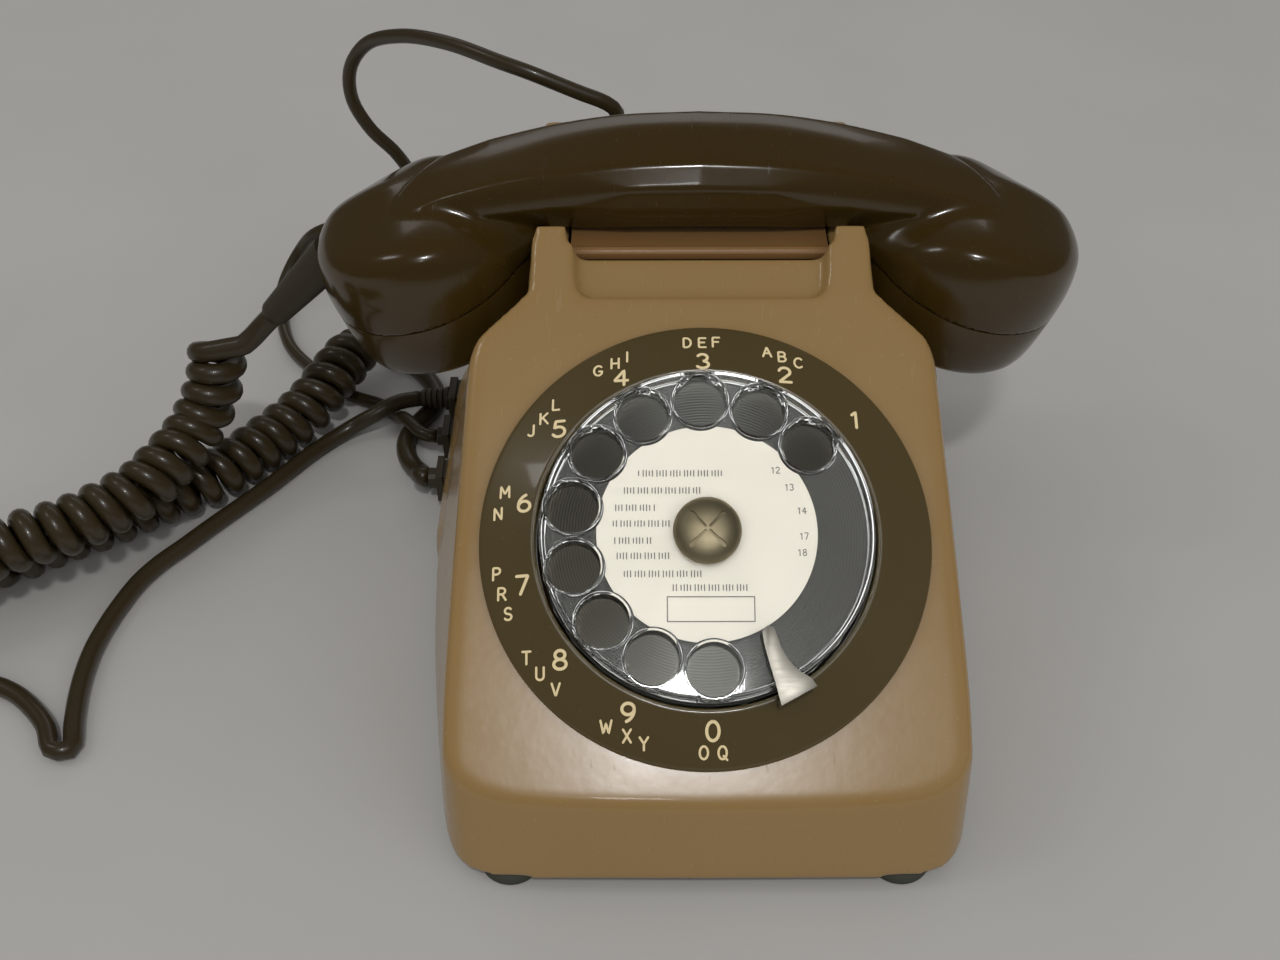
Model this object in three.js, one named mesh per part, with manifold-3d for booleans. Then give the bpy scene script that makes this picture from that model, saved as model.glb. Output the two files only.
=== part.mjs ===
// Desk telephone with a rotary dial, a cradle, a handset on a curly cord and a second listening
// earpiece hung at the back. Millimetres, +Z up, the caller sits at -Y, origin on the desk.
import * as THREE from 'three';
import { mergeVertices } from 'three/addons/utils/BufferGeometryUtils.js';
import { ConvexGeometry } from 'three/addons/geometries/ConvexGeometry.js';
import Module from 'manifold-3d';

const wasm = await Module();
wasm.setup();

// ---- driving dimensions ----
const gap = 0.3;                       // clearance between neighbouring pieces
const wall = 2.6;                      // moulded wall of the case
const halfLength = 113;                // half of the depth of the whole telephone
const rimHeight = 4.5;                 // lower edge of the case above the desk
const faceAngle = THREE.MathUtils.degToRad(31);
const dialCentre = new THREE.Vector3(0, -48.7, 63.5);
const faceLevel = -1.5;                // face of the case, measured along the dial's axis

const ringRadius = 58.6;
const ringInner = 43.6;
const wheelRadius = 42.3;
const holeRadius = 6.75;
const collarRadius = 7.6;
const holePitchRadius = 34.56;
const holeCount = 10;
const firstHoleAngle = THREE.MathUtils.degToRad(40.7);
const holeStep = (2 * Math.PI) / 14;
const cardRadius = 27.9;
const cardClearance = 7.9;
const capRadius = 8.6;
const shaftRadius = 3;
const gearRadius = 24;
const pinionRadius = 4;

const troughHeight = 98.8;
const barHalfWidth = 36.2;
const barPivotY = 51;
const barPivotZ = 96.6;

const cupCentre = new THREE.Vector3(78.9, 44.8, 85.6);
const cupLean = THREE.MathUtils.degToRad(16.8);
const cupPitch = THREE.MathUtils.degToRad(5.5);
const cupRadius = 31.3;
const capHeight = 19.2;

const lineCordWidth = 5.5;
const curlyWireWidth = 5;
const curlyOuterWidth = 18.6;
const listenerCordWidth = 4.6;
const coilRadius = 27;                 // middle of the coiled rest of the line cord
const coilSection = 18;
const coilHeight = 15;

// ---- materials ----
const material = (color, roughness, metalness = 0) =>
  new THREE.MeshStandardMaterial({ color, roughness, metalness });
const finish = {
  taupe: () => material(0x876c48, 0.32),
  barTan: () => material(0x86603f, 0.4),
  olive: () => material(0x342812, 0.25),
  ring: () => material(0x463a1e, 0.28),
  clear: () => material(0xaab0b0, 0.12),
  card: () => material(0xe6e1d3, 0.8),
  bronze: () => material(0x6b6540, 0.35, 0.5),
  satinSteel: () => material(0xb9b6ac, 0.35, 0.9),
  greyPlate: () => material(0x5a5f5f, 0.45, 0.6),
  steel: () => material(0x9a9a96, 0.4, 0.9),
  brass: () => material(0xb08d4a, 0.35, 0.9),
  rubber: () => material(0x33352b, 0.8),
  cord: () => material(0x2b2113, 0.4),
  board: () => material(0x6d4a2a, 0.7),
  coilTape: () => material(0x8a3a22, 0.6),
  black: () => material(0x1c1b19, 0.5),
  grey: () => material(0x8d8d88, 0.5),
};

const phone = new THREE.Group();

// ---- solids: joining and cutting ----
const toSolid = (geometry) => {
  const bare = geometry.clone();
  bare.deleteAttribute('normal');
  bare.deleteAttribute('uv');
  const merged = mergeVertices(bare, 1e-4);
  return new wasm.Manifold(new wasm.Mesh({
    numProp: 3,
    vertProperties: new Float32Array(merged.attributes.position.array),
    triVerts: new Uint32Array(merged.index.array),
  }));
};

// Corners closer than a hundredth of a millimetre become one, and the slivers between them go.
const toGeometry = (solid) => {
  const mesh = solid.getMesh();
  const raw = new THREE.BufferGeometry();
  raw.setAttribute('position', new THREE.BufferAttribute(mesh.vertProperties, 3));
  raw.setIndex(new THREE.BufferAttribute(mesh.triVerts, 1));
  const geometry = mergeVertices(raw, 0.01);
  const kept = [];
  for (let i = 0; i < geometry.index.count; i += 3) {
    const corners = [0, 1, 2].map((step) => geometry.index.getX(i + step));
    if (new Set(corners).size === 3) kept.push(...corners);
  }
  geometry.setIndex(kept);
  return geometry;
};

const join = (...solids) => solids.reduce((whole, next) => whole.add(next));
const cut = (whole, ...tools) => tools.reduce((rest, tool) => rest.subtract(tool), whole);

const add = (name, shape, colour, parent = phone) => {
  const geometry = shape.isBufferGeometry ? shape : toGeometry(shape);
  const mesh = new THREE.Mesh(geometry, colour());
  mesh.name = name;
  parent.add(mesh);
  return mesh;
};

// ---- basic solids ----
const box = (x0, x1, y0, y1, z0, z1) => {
  const geometry = new THREE.BoxGeometry(x1 - x0, y1 - y0, z1 - z0);
  geometry.translate((x0 + x1) / 2, (y0 + y1) / 2, (z0 + z1) / 2);
  return toSolid(geometry);
};

const rod = (from, to, radius, sides = 16, endRadius = radius) => {
  const start = new THREE.Vector3(...from);
  const axis = new THREE.Vector3(...to).sub(start);
  const geometry = new THREE.CylinderGeometry(endRadius, radius, axis.length(), sides);
  geometry.translate(0, axis.length() / 2, 0);
  const turn = new THREE.Quaternion().setFromUnitVectors(new THREE.Vector3(0, 1, 0), axis.normalize());
  geometry.applyQuaternion(turn);
  geometry.translate(start.x, start.y, start.z);
  return toSolid(geometry);
};

const turned = (profile, sides = 32) => {
  const outline = profile.map(([r, h]) => new THREE.Vector2(r, h));
  if (THREE.ShapeUtils.isClockWise(outline)) outline.reverse();
  const geometry = new THREE.LatheGeometry(outline, sides);
  geometry.rotateX(Math.PI / 2);
  return toSolid(geometry);
};

const hull = (points) => toSolid(new ConvexGeometry(points));

const chain = (sections) => join(...sections.slice(1).map((next, i) => hull([...sections[i], ...next])));

const prism = (outline, z0, z1) => {
  const shape = new THREE.Shape(outline.map(([x, y]) => new THREE.Vector2(x, y)));
  const geometry = new THREE.ExtrudeGeometry(shape, { depth: z1 - z0, bevelEnabled: false });
  geometry.translate(0, 0, z0);
  return toSolid(geometry);
};

const disc = (radius, sides) => Array.from({ length: sides }, (_, i) => {
  const turn = (2 * Math.PI * i) / sides;
  return [radius * Math.cos(turn), radius * Math.sin(turn)];
});

const tube = (points, width, steps, sides = 8) => {
  const path = new THREE.CatmullRomCurve3(points.map((point) => new THREE.Vector3(...point)));
  const section = new THREE.Shape(disc(width / 2, sides).map(([x, y]) => new THREE.Vector2(x, y)));
  return new THREE.ExtrudeGeometry(section, { steps, extrudePath: path, bevelEnabled: false });
};

// A point of the sloping face: across, up the slope, and out along the dial's axis.
const onFace = (across, up, out = faceLevel) => new THREE.Vector3(
  across,
  dialCentre.y + up * Math.cos(faceAngle) - out * Math.sin(faceAngle),
  dialCentre.z + up * Math.sin(faceAngle) + out * Math.cos(faceAngle),
);

const bothSides = (points) => points.flatMap((p) => [p, new THREE.Vector3(-p.x, p.y, p.z)]);

// ---- the case ----
const rimFront = [[0, -113], [30, -112.7], [48, -112], [57, -110.9], [62, -108.6], [65.4, -104.6],
  [67.6, -99], [69.4, -91], [71.8, -77], [75, -56], [77.8, -35], [80, -10]];
const foldLine = [[0, -67], [30, -66.4], [50, -64.8], [58, -62.4], [63.4, -58.6]];
const faceEdge = [[66, -54], [66.2, -41], [64.8, 0], [63.2, 24], [61.6, 43], [60.2, 50],
  [57, 57.6], [52.4, 62.6], [48, 67]];
const rearLevels = [[rimHeight, 81, 84, 0], [14, 80, 83.6, 0], [24, 75.4, 82.6, 0],
  [34, 66.5, 81.2, 0], [46, 57.6, 79.8, 0], [60, 51, 78.6, 0], [76, 48.6, 78, 2],
  [troughHeight, 47.4, 77, 11]];

// A slice of the rear of the case: half width, rear edge with round corners, front edge.
const rearSlice = (height, half, rear, front, corner) => {
  const points = [new THREE.Vector3(half, front, height)];
  for (let i = 0; i <= 4; i += 1) {
    const turn = (Math.PI / 8) * i;
    points.push(new THREE.Vector3(
      half - corner + corner * Math.cos(turn),
      rear - corner + corner * Math.sin(turn),
      height,
    ));
  }
  return bothSides(points);
};

const caseBlock = (inset) => {
  const across = 1 - inset / 76;
  const along = 1 - inset / halfLength;
  const foot = inset > 0 ? -2 : rimHeight;
  const sink = faceLevel - inset;
  const front = hull(bothSides([
    ...rimFront.map(([x, y]) => new THREE.Vector3(x * across, y * along, foot)),
    new THREE.Vector3(81 - inset, 12, foot),
    ...foldLine.map(([x, up]) => onFace(x * across, up + 0.6 * inset, sink)),
    ...faceEdge.map(([x, up]) => onFace(x * across, up, sink)),
    new THREE.Vector3(48 * across, 12, troughHeight - 1 - inset),
  ]));
  const rear = chain(rearLevels.map(([height, half, back, start], i) => rearSlice(
    i === 0 ? foot : height - (i === rearLevels.length - 1 ? inset : 0),
    half - inset,
    back - inset,
    start,
    Math.max(5, 17 - 1.6 * i) - inset / 2,
  )));
  return front.add(rear);
};

// The space that a cup of the handset takes as it is lifted off the cradle.
const cupGroup = (side) => {
  const group = new THREE.Group();
  group.position.set(side * cupCentre.x, cupCentre.y, cupCentre.z);
  group.rotation.set(cupPitch, side * cupLean, 0);
  group.updateMatrixWorld(true);
  return group;
};

const cupRing = (side, radius, height, sides = 24) => {
  const group = cupGroup(side);
  return disc(radius, sides).map(([x, y]) => group.localToWorld(new THREE.Vector3(x, y, height)));
};

const cupScoop = (side, clearance) => {
  const rings = [...cupRing(side, cupRadius + clearance, -capHeight - clearance),
    ...cupRing(side, cupRadius + clearance, 10)];
  const raised = rings.map((point) => point.clone().add(new THREE.Vector3(0, 0, 60)));
  return hull([...rings, ...raised]);
};

const frontEar = (side) => hull([
  ...[37.4, 47].map((x) => new THREE.Vector3(side * x, 6, 88)),
  ...[37.4, 47].map((x) => onFace(side * x, 66)),
  ...[37.6, 45.6].map((x) => onFace(side * x, 83)),
  ...[38, 45].map((x) => onFace(side * x, 86.6, -2.2)),
  ...[38, 45].map((x) => new THREE.Vector3(side * x, 28.4, 106.2)),
  ...[37.4, 46.6].map((x) => new THREE.Vector3(side * x, 29, 96)),
]);

const rearHorn = (side) => hull([
  ...[[35.6, 63.6], [46.6, 63.6], [35.6, 77], [46.6, 77]].map(
    ([x, y]) => new THREE.Vector3(side * x, y, troughHeight - 4)),
  ...[[36.4, 64.4], [46, 64.4], [36.4, 76.4], [46, 76.4]].map(
    ([x, y]) => new THREE.Vector3(side * x, y, 112)),
  ...[[37.6, 66], [44.8, 66], [37.6, 74.6], [44.8, 74.6]].map(
    ([x, y]) => new THREE.Vector3(side * x, y, 116)),
]);

// The shallow recess between the front ears, above the dial, or the same grown on all sides.
const recessDepth = -4.8;
const faceRecess = (grow) => hull([
  ...bothSides([[32 + grow, 67.6 - grow], [36.8 + grow, 71.6 - grow], [36.8 + grow, 100], [0, 100]].flatMap(
    ([x, up]) => [onFace(x, up, recessDepth - grow), onFace(x, up, 12)])),
]);

const dialOpening = rod(onFace(0, 0, -14).toArray(), onFace(0, 0, 8).toArray(), 43.8, 48);
const barSlot = box(-barHalfWidth - 0.6, barHalfWidth + 0.6, 24.6, 55.6, 88, 120);

const screwPlaces = [['front', 0, -102.4], ['rear', 0, 78]];
const screwBoss = ([, x, y]) => cut(
  rod([x, y, 6.9], [x, y, 22], 4, 12),
  rod([x, y, 5], [x, y, 17], 1.9, 12),
);

// Notches for the cords in the left skirt: name, place along the case, width.
const cordHeight = 9;
const notches = { curly: [30.6, 8.6], listener: [51, 8.6], line: [70.6, 10.4] };
const notchCut = ([y, width]) => box(-90, -70, y - width / 2, y + width / 2, 0, 13.6);

const caseShell = () => {
  const outside = cut(
    join(caseBlock(0), frontEar(1), frontEar(-1), rearHorn(1), rearHorn(-1)),
    faceRecess(0),
    cupScoop(1, 1),
    cupScoop(-1, 1),
  );
  const inside = cut(
    caseBlock(wall),
    faceRecess(wall),
    cupScoop(1, 1 + wall),
    cupScoop(-1, 1 + wall),
  );
  const shell = cut(outside, inside, dialOpening, barSlot, ...Object.values(notches).map(notchCut));
  return join(shell, ...screwPlaces.map(screwBoss));
};
add('body_shell', caseShell(), finish.taupe);

const baseOutline = () => {
  const side = [...rimFront.slice(1), [81, 12], [81, 66], [79, 75], [73.5, 81], [64, 84]];
  const shrunk = side.map(([x, y]) => [x * 0.938, y * 0.948]);
  const mirrored = shrunk.map(([x, y]) => [-x, y]).reverse();
  return [...shrunk, ...mirrored];
};
add('base_plate', cut(
  prism(baseOutline(), 4.8, 6.4),
  ...screwPlaces.map(([, x, y]) => rod([x, y, 4], [x, y, 7], 2.2, 12)),
), finish.steel);

screwPlaces.forEach(([name, x, y]) => add(`base_screw_${name}`, join(
  rod([x, y, 2.9], [x, y, 4.5], 3.6, 12),
  rod([x, y, 4], [x, y, 15.5], 1.6, 12),
), finish.steel));

const feet = [['front_left', -50.5, -103], ['front_right', 50.5, -103],
  ['rear_left', -62, 68], ['rear_right', 62, 68]];
feet.forEach(([name, x, y]) => add(`foot_${name}`, join(
  rod([x, y, 0], [x, y, 3], 8.4, 20),
  rod([x, y, 3], [x, y, 4.2], 8.4, 20, 7.2),
), finish.rubber));

// ---- the dial, in its own tilted frame: x across, y up the slope, z out ----
const dial = new THREE.Group();
dial.position.copy(dialCentre);
dial.rotation.x = faceAngle;
phone.add(dial);

add('number_ring', turned([[ringInner, -1.2], [58.2, -1.2], [ringRadius, -0.6], [58.4, 0.3],
  [45.4, 5.7], [44.4, 6], [ringInner, 5.2], [ringInner, -1.2]], 40), finish.ring, dial);

add('dial_plate', cut(prism(disc(42.6, 36), 4.4, 5.4), rod([0, 0, 4], [0, 0, 6], 3.3, 16)),
  finish.greyPlate, dial);

const posts = [45, 140, 285].map((deg) => THREE.MathUtils.degToRad(deg))
  .map((turn) => [37 * Math.cos(turn), 37 * Math.sin(turn)]);
add('dial_frame', cut(
  join(
    prism(disc(43, 28), -3, -1),
    turned([[36, -2], [42, -2], [42, 4.1], [36, 4.1], [36, -2]], 28),
    ...posts.map(([x, y]) => rod([x, y, -26], [x, y, -2], 2.4, 10)),
  ),
  rod([0, 0, -4], [0, 0, 0], 3.3, 16),
), finish.steel, dial);

add('dial_rear_plate', cut(prism(disc(40, 24), -28, -26.3), rod([0, 0, -29], [0, 0, -26], 3.3, 16)),
  finish.steel, dial);

const holes = Array.from({ length: holeCount }, (_, i) => firstHoleAngle + i * holeStep)
  .map((turn) => [holePitchRadius * Math.cos(turn), holePitchRadius * Math.sin(turn)]);

const wheelDisc = turned([[0, 9], [40.9, 9], [40.9, 6], [wheelRadius, 6], [wheelRadius, 11],
  [41.8, 11.3], [41, 10.8], [0, 10.8]], 40);
add('finger_wheel', cut(
  join(wheelDisc, ...holes.map(([x, y]) => rod([x, y, 6.3], [x, y, 11.3], collarRadius, 14))),
  ...holes.map(([x, y]) => rod([x, y, 5], [x, y, 13], holeRadius, 14)),
), finish.clear, dial);

add('number_card', cut(
  prism(disc(cardRadius, 40), 8.3, 8.7),
  rod([0, 0, 8], [0, 0, 9], 3.3, 12),
  ...holes.map(([x, y]) => rod([x, y, 8], [x, y, 9], cardClearance, 14)),
), finish.card, dial);

add('centre_cap', turned([[0, 11.1], [capRadius, 11.1], [capRadius, 12], [7.4, 13.2], [4.4, 14.2],
  [0, 14.5]], 20), finish.bronze, dial);

// The claw that stops the finger: a leaf over the wheel with its outer edge bent down.
const stopOutline = [[14.3, -24.1], [15.6, -24.6], [16.6, -26.6], [17.6, -29.4], [19, -32],
  [21, -34.5], [24.6, -36.9], [26, -38.9], [17.2, -43.6], [16, -38.6], [14.6, -33.4],
  [13.4, -28.6], [13, -25.4]];
add('finger_stop', join(
  prism(stopOutline, 11.8, 13),
  hull([[24.8, -37.9, 6.2], [26, -38.9, 5.5], [17.2, -43.6, 5.5], [16.6, -42.3, 6.2]].flatMap(
    ([x, y, low]) => [new THREE.Vector3(x, y, low), new THREE.Vector3(x, y, 12.6)])),
), finish.satinSteel, dial);

add('dial_shaft', rod([0, 0, -29], [0, 0, 8.7], shaftRadius, 20), finish.steel, dial);

add('drive_gear', cut(prism(disc(gearRadius, 36), -8, -6), rod([0, 0, -9], [0, 0, -5], 3.3, 16)),
  finish.brass, dial);

const spiral = () => {
  const turns = 2.5;
  const steps = 30;
  const band = 0.8;
  const edge = (offset) => Array.from({ length: steps + 1 }, (_, i) => {
    const turn = (2 * Math.PI * turns * i) / steps;
    const radius = 5.6 + (8.4 * i) / steps + offset;
    return [radius * Math.cos(turn), radius * Math.sin(turn)];
  });
  return prism([...edge(band), ...edge(0).reverse()], -14, -10.5);
};
add('return_spring', spiral(), finish.steel, dial);

const pinionPlace = gearRadius + pinionRadius + gap;
const onPinionCircle = (deg) => {
  const turn = THREE.MathUtils.degToRad(deg);
  return [pinionPlace * Math.cos(turn), pinionPlace * Math.sin(turn)];
};
const [governorX, governorY] = onPinionCircle(200);
add('governor', join(
  rod([governorX, governorY, -8], [governorX, governorY, -6], pinionRadius, 16),
  rod([governorX, governorY, -25.8], [governorX, governorY, -4], 1.3, 10),
  rod([governorX, governorY, -22], [governorX, governorY, -12], 8.6, 20),
), finish.brass, dial);

const [camX, camY] = onPinionCircle(-32);
add('pulse_cam', join(
  rod([camX, camY, -8], [camX, camY, -6], pinionRadius, 16),
  rod([camX, camY, -25.8], [camX, camY, -4], 1.3, 10),
  hull(Array.from({ length: 20 }, (_, i) => (Math.PI * i) / 10).flatMap((turn) => {
    const radius = 6.2 + 1.3 * Math.cos(2 * turn);
    return [-18, -15].map((h) => new THREE.Vector3(
      camX + radius * Math.cos(turn), camY + radius * Math.sin(turn), h));
  })),
), finish.brass, dial);

add('pulse_contacts', join(
  box(27, 37, 1, 9, -21, -12),
  box(33.4, 34.2, -19, 2, -18, -15),
  box(35.4, 36.2, -16, 2, -18, -15),
), finish.black, dial);

// ---- cradle switch ----
add('hook_bar', cut(
  join(
    hull([[26, 98.6], [26, 101], [27.4, 101.6], [30.4, 100.4], [49, 100.1], [49, 98.4]].flatMap(
      ([y, z]) => [-barHalfWidth, barHalfWidth].map((x) => new THREE.Vector3(x, y, z)))),
    ...[-28, 28].map((x) => rod([x - 5, barPivotY, barPivotZ], [x + 5, barPivotY, barPivotZ], 3.4, 16)),
    box(-3, 3, 39, 43, 95.6, 99),
  ),
  rod([-40, barPivotY, barPivotZ], [40, barPivotY, barPivotZ], 1.9, 12),
), finish.barTan);

add('hook_pin', rod([-36, barPivotY, barPivotZ], [36, barPivotY, barPivotZ], 1.5, 12), finish.steel);

add('cradle_bracket', join(
  box(-11, 11, 70, 72, 6.7, 86),
  box(-11, 11, 54, 72, 84, 86),
  box(-11, 11, 62, 72, 6.7, 8.4),
), finish.steel);

add('hook_contacts', join(
  box(-9, 9, 56, 69, 86.3, 92.5),
  box(-2.4, 2.4, 38, 58, 91.4, 92.2),
  box(-2.4, 2.4, 42, 58, 88, 88.8),
), finish.black);

// ---- ringer ----
add('ringer_frame', join(
  box(-20, 20, 22, 40, 6.7, 9),
  box(-20, 20, 22, 24.6, 6.7, 24),
  box(-3, 3, 22, 32, 21.6, 24),
), finish.steel);

[[-1, 'left'], [1, 'right']].forEach(([side, word]) => {
  const x = 12 * side;
  add(`ringer_coil_${word}`, join(
    rod([x, 33, 9.3], [x, 33, 25], 6.6, 20),
    rod([x, 33, 25], [x, 33, 30], 2.4, 12),
  ), finish.coilTape);
  const gongX = 25.6 * side;
  const gong = turned([[19.6, 0], [20.4, 0], [19.4, 7], [15, 10.6], [0, 11.6], [0, 10.6],
    [14.6, 9.7], [18.6, 6.4], [19.6, 0]], 20);
  add(`gong_${word}`, gong.translate([gongX, 52, 30]), finish.brass);
  add(`gong_post_${word}`, rod([gongX, 52, 6.7], [gongX, 52, 40.2], 3, 12), finish.steel);
});

const clapperPivot = [0, 29, 33];
add('clapper', join(
  rod([...clapperPivot.slice(0, 2), 24.3], clapperPivot, 1.8, 12),
  box(-17, 17, 30, 33, 30.6, 32.6),
  box(-1, 1, 28, 58, 31.6, 33.2),
  rod([0, 60, 29.5], [0, 60, 35.5], 3.4, 16),
), finish.brass);

// ---- circuit parts on the base ----
add('terminal_board', join(
  box(-60, -22, -34, -8, 6.7, 9.2),
  ...[-54, -46, -38, -30].flatMap((x) => [-28, -14].map((y) => rod([x, y, 9], [x, y, 12], 2.6, 10))),
), finish.board);

add('induction_coil', join(
  box(26, 54, -30, -10, 6.7, 9),
  rod([28, -20, 18], [52, -20, 18], 8, 20),
  box(26, 28.4, -30, -10, 6.7, 28),
  box(51.6, 54, -30, -10, 6.7, 28),
), finish.coilTape);

add('capacitor', box(30, 62, -2, 16, 6.7, 22), finish.grey);

// ---- handset ----
// Half of the handle's section at a place along it: heights of the creases and of the underside.
const handleSections = [
  { x: 0, front: 123.2, rear: 126.2, top: 126.7, side: 117, under: 101.4 },
  { x: 22, front: 122.2, rear: 125.2, top: 125.8, side: 116.4, under: 101.3 },
  { x: 40, front: 119.6, rear: 122.4, top: 123.2, side: 114, under: 101 },
  { x: 54, front: 116.6, rear: 119, top: 119.8, side: 111, under: 100 },
  { x: 66, front: 113.4, rear: 115.2, top: 116.2, side: 107, under: 98 },
];
const handleSlice = (side, { x, front, rear, top, side: edge, under }, inset) => [
  [32.5 + inset, edge], [37.3, front - inset], [52.7, rear - inset], [57.5, top - inset],
  [61.5 - inset, edge], [60 - inset, under + 4 + inset], [56.6, under + inset], [37.2, under + inset],
  [33.8 + inset, under + 4 + inset],
].map(([y, z]) => new THREE.Vector3(side * x, y, z));

const handleBar = (inset) => chain([
  ...[...handleSections].reverse().map((part) => handleSlice(-1, part, inset)),
  ...handleSections.slice(1).map((part) => handleSlice(1, part, inset)),
]);

// The bell that carries a cup: round at the seam, running up into the handle.
const bell = (side, grow = 0) => hull([
  ...cupRing(side, cupRadius + grow, 0),
  ...cupRing(side, cupRadius - 0.4 + grow, 9, 20),
  ...[[70, 31.6, 108], [82, 31, 104.4], [95, 34, 98.6], [72, 38, 113], [94, 38, 105.2],
    [84, 56, 111], [94, 56, 106.2], [102, 54, 99.6], [107, 48, 94], [72, 57, 114],
    [70, 62.4, 107.6], [82, 63, 103.6], [95, 60, 98], [108.4, 44.8, 90]].map(
    ([x, y, z]) => new THREE.Vector3(side * (x + grow), y, z)),
]);

const cupHollow = (side) => {
  const outer = cupRing(side, cupRadius - 3, -1);
  const inner = cupRing(side, cupRadius - 5, 11);
  return hull([...outer, ...inner]);
};

add('handset_shell', cut(
  join(handleBar(0), bell(1), bell(-1)),
  cupHollow(1),
  cupHollow(-1),
  chain([
    ...[...handleSections].reverse().map((part) => handleSlice(-1, part, 5)),
    ...handleSections.slice(1).map((part) => handleSlice(1, part, 5)),
  ]),
  ...[1, -1].map((side) => hull([
    ...handleSlice(side, handleSections[4], 5),
    ...cupRing(side, 12, 9, 12),
  ])),
), finish.olive);

const cupWords = [[-1, 'mouthpiece', 'transmitter'], [1, 'earpiece', 'receiver']];
cupWords.forEach(([side, word, capsule]) => {
  const group = cupGroup(side);
  phone.add(group);
  add(`${word}_cap`, turned([[0, -17.8], [20, -18.6], [27, -capHeight], [29.6, -18.2], [30.9, -15.6],
    [cupRadius, -9], [cupRadius, -gap], [cupRadius - 2.6, -gap], [cupRadius - 2.8, -13],
    [26, -15.8], [0, -15.4]], 24), finish.olive, group);
  add(`${capsule}_capsule`, join(
    rod([0, 0, -12], [0, 0, -2], 24.5, 20),
    rod([0, 0, -3], [0, 0, 7], 19, 16),
  ), finish.grey, group);
});

// Tapered sleeve where the curly cord leaves the mouthpiece end.
const sleeveStart = [-109.6, 44.3, 86];
const sleeveEnd = [-129.4, 44.3, 65.5];
add('handset_sleeve', cut(rod(sleeveStart, sleeveEnd, 6.2, 14, 4), bell(-1, gap)), finish.cord);

// ---- second listening earpiece and its bracket ----
const listenerX = -24;
const listenerZ = 65;
const listenerBack = 105.7;
const bracketY = 79;

add('listener_bracket', join(
  box(listenerX - 13, listenerX + 13, bracketY, bracketY + 1.6, listenerZ - 6, listenerZ + 14),
  box(listenerX - 9, listenerX + 9, bracketY, 85.4, listenerZ + 4, listenerZ + 5.6),
  box(listenerX - 9, listenerX + 9, 83.8, 85.4, listenerZ + 4, listenerZ + 10),
), finish.steel);

const listenerShellRound = turned([[0, 89], [18, 89], [27, 92], [30.6, 99], [30.6, listenerBack],
  [28, listenerBack], [28, 99.6], [25.4, 94], [0, 91.4]], 26);
add('listener_shell', listenerShellRound
  .rotate([-90, 0, 0])
  .translate([listenerX, 0, listenerZ])
  .add(box(listenerX - 7, listenerX + 7, 80.8, 90.4, listenerZ + 10.6, listenerZ + 14))
  .add(box(listenerX - 7, listenerX + 7, 80.8, 83.3, listenerZ + 6.4, listenerZ + 14)), finish.olive);

add('listener_cap', turned([[0, 111], [14, 111.4], [25, halfLength], [28.6, 112], [30.6, 109],
  [30.6, listenerBack + gap], [28, listenerBack + gap], [27.6, 108.4], [0, 108.4]], 26)
  .rotate([-90, 0, 0]).translate([listenerX, 0, listenerZ]), finish.olive);

add('listener_capsule', rod([listenerX, 96, listenerZ], [listenerX, 107, listenerZ], 22, 24), finish.grey);

add('listener_sleeve', rod(
  [listenerX, 96.5, listenerZ + 31.4],
  [listenerX + 0.4, 93.2, listenerZ + 38],
  4.2,
  12,
  3.2,
), finish.cord);

// ---- cords ----
add('curly_lead_handset', tube([[-129.8, 44.3, 65], [-134.6, 44.7, 60.2], [-140.4, 46, 57.4],
  [-146, 47.6, 56]], curlyWireWidth, 10), finish.cord);

const curlyRoute = [[-149.7, 46, 51], [-150, 41, 44.9], [-153.2, 37, 38.2], [-156.4, 33.2, 33],
  [-159.4, 27.4, 30], [-162.8, 20.9, 28.5], [-166.3, 15.4, 27.2], [-170.2, 9.2, 26.2],
  [-180.2, 0.7, 25], [-189.8, -6.4, 24.9], [-200.6, -12, 25.2], [-212, -18, 24.6],
  [-226, -26, 21.6], [-243, -36, 15.6], [-262, -45, 10.6], [-281, -47, 9.4], [-297, -38, 9.4],
  [-301, -22, 9.4], [-289, -9, 9.4], [-268, -5, 9.4], [-245, -7, 9.4], [-228, -8, 9.4],
  [-213, -4.6, 9.4], [-199.6, 4, 9.4], [-187.1, 11, 9.4], [-173.4, 20.4, 9.4], [-160.1, 29, 9.4],
  [-150.5, 38.6, 9.4], [-141.6, 50, 9.4], [-131.4, 62.7, 11.5], [-126.1, 72, 14],
  [-123.1, 78.4, 15], [-120, 86, 15.2], [-117.6, 94, 15.2]];
add('curly_cord', tube(curlyRoute, curlyOuterWidth, 64, 8), finish.cord);

add('curly_lead_body', tube([[-115.4, 98.4, 12.5], [-111, 100.6, 8], [-104, 99, 3.4], [-96, 92, 2.5],
  [-89.8, 81, 2.5], [-89.6, 73.4, 2.5], [-93, 67.2, 2.5], [-96.2, 60.7, 2.5], [-97.4, 53.6, 2.5],
  [-95.9, 47.1, 2.5], [-92.8, 41.4, 3.2], [-89.4, 36, 5.6], [-88.6, 31.6, 9]],
curlyWireWidth, 28), finish.cord);

const [curlyY] = notches.curly;
const [listenerY] = notches.listener;
const [lineY] = notches.line;

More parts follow.
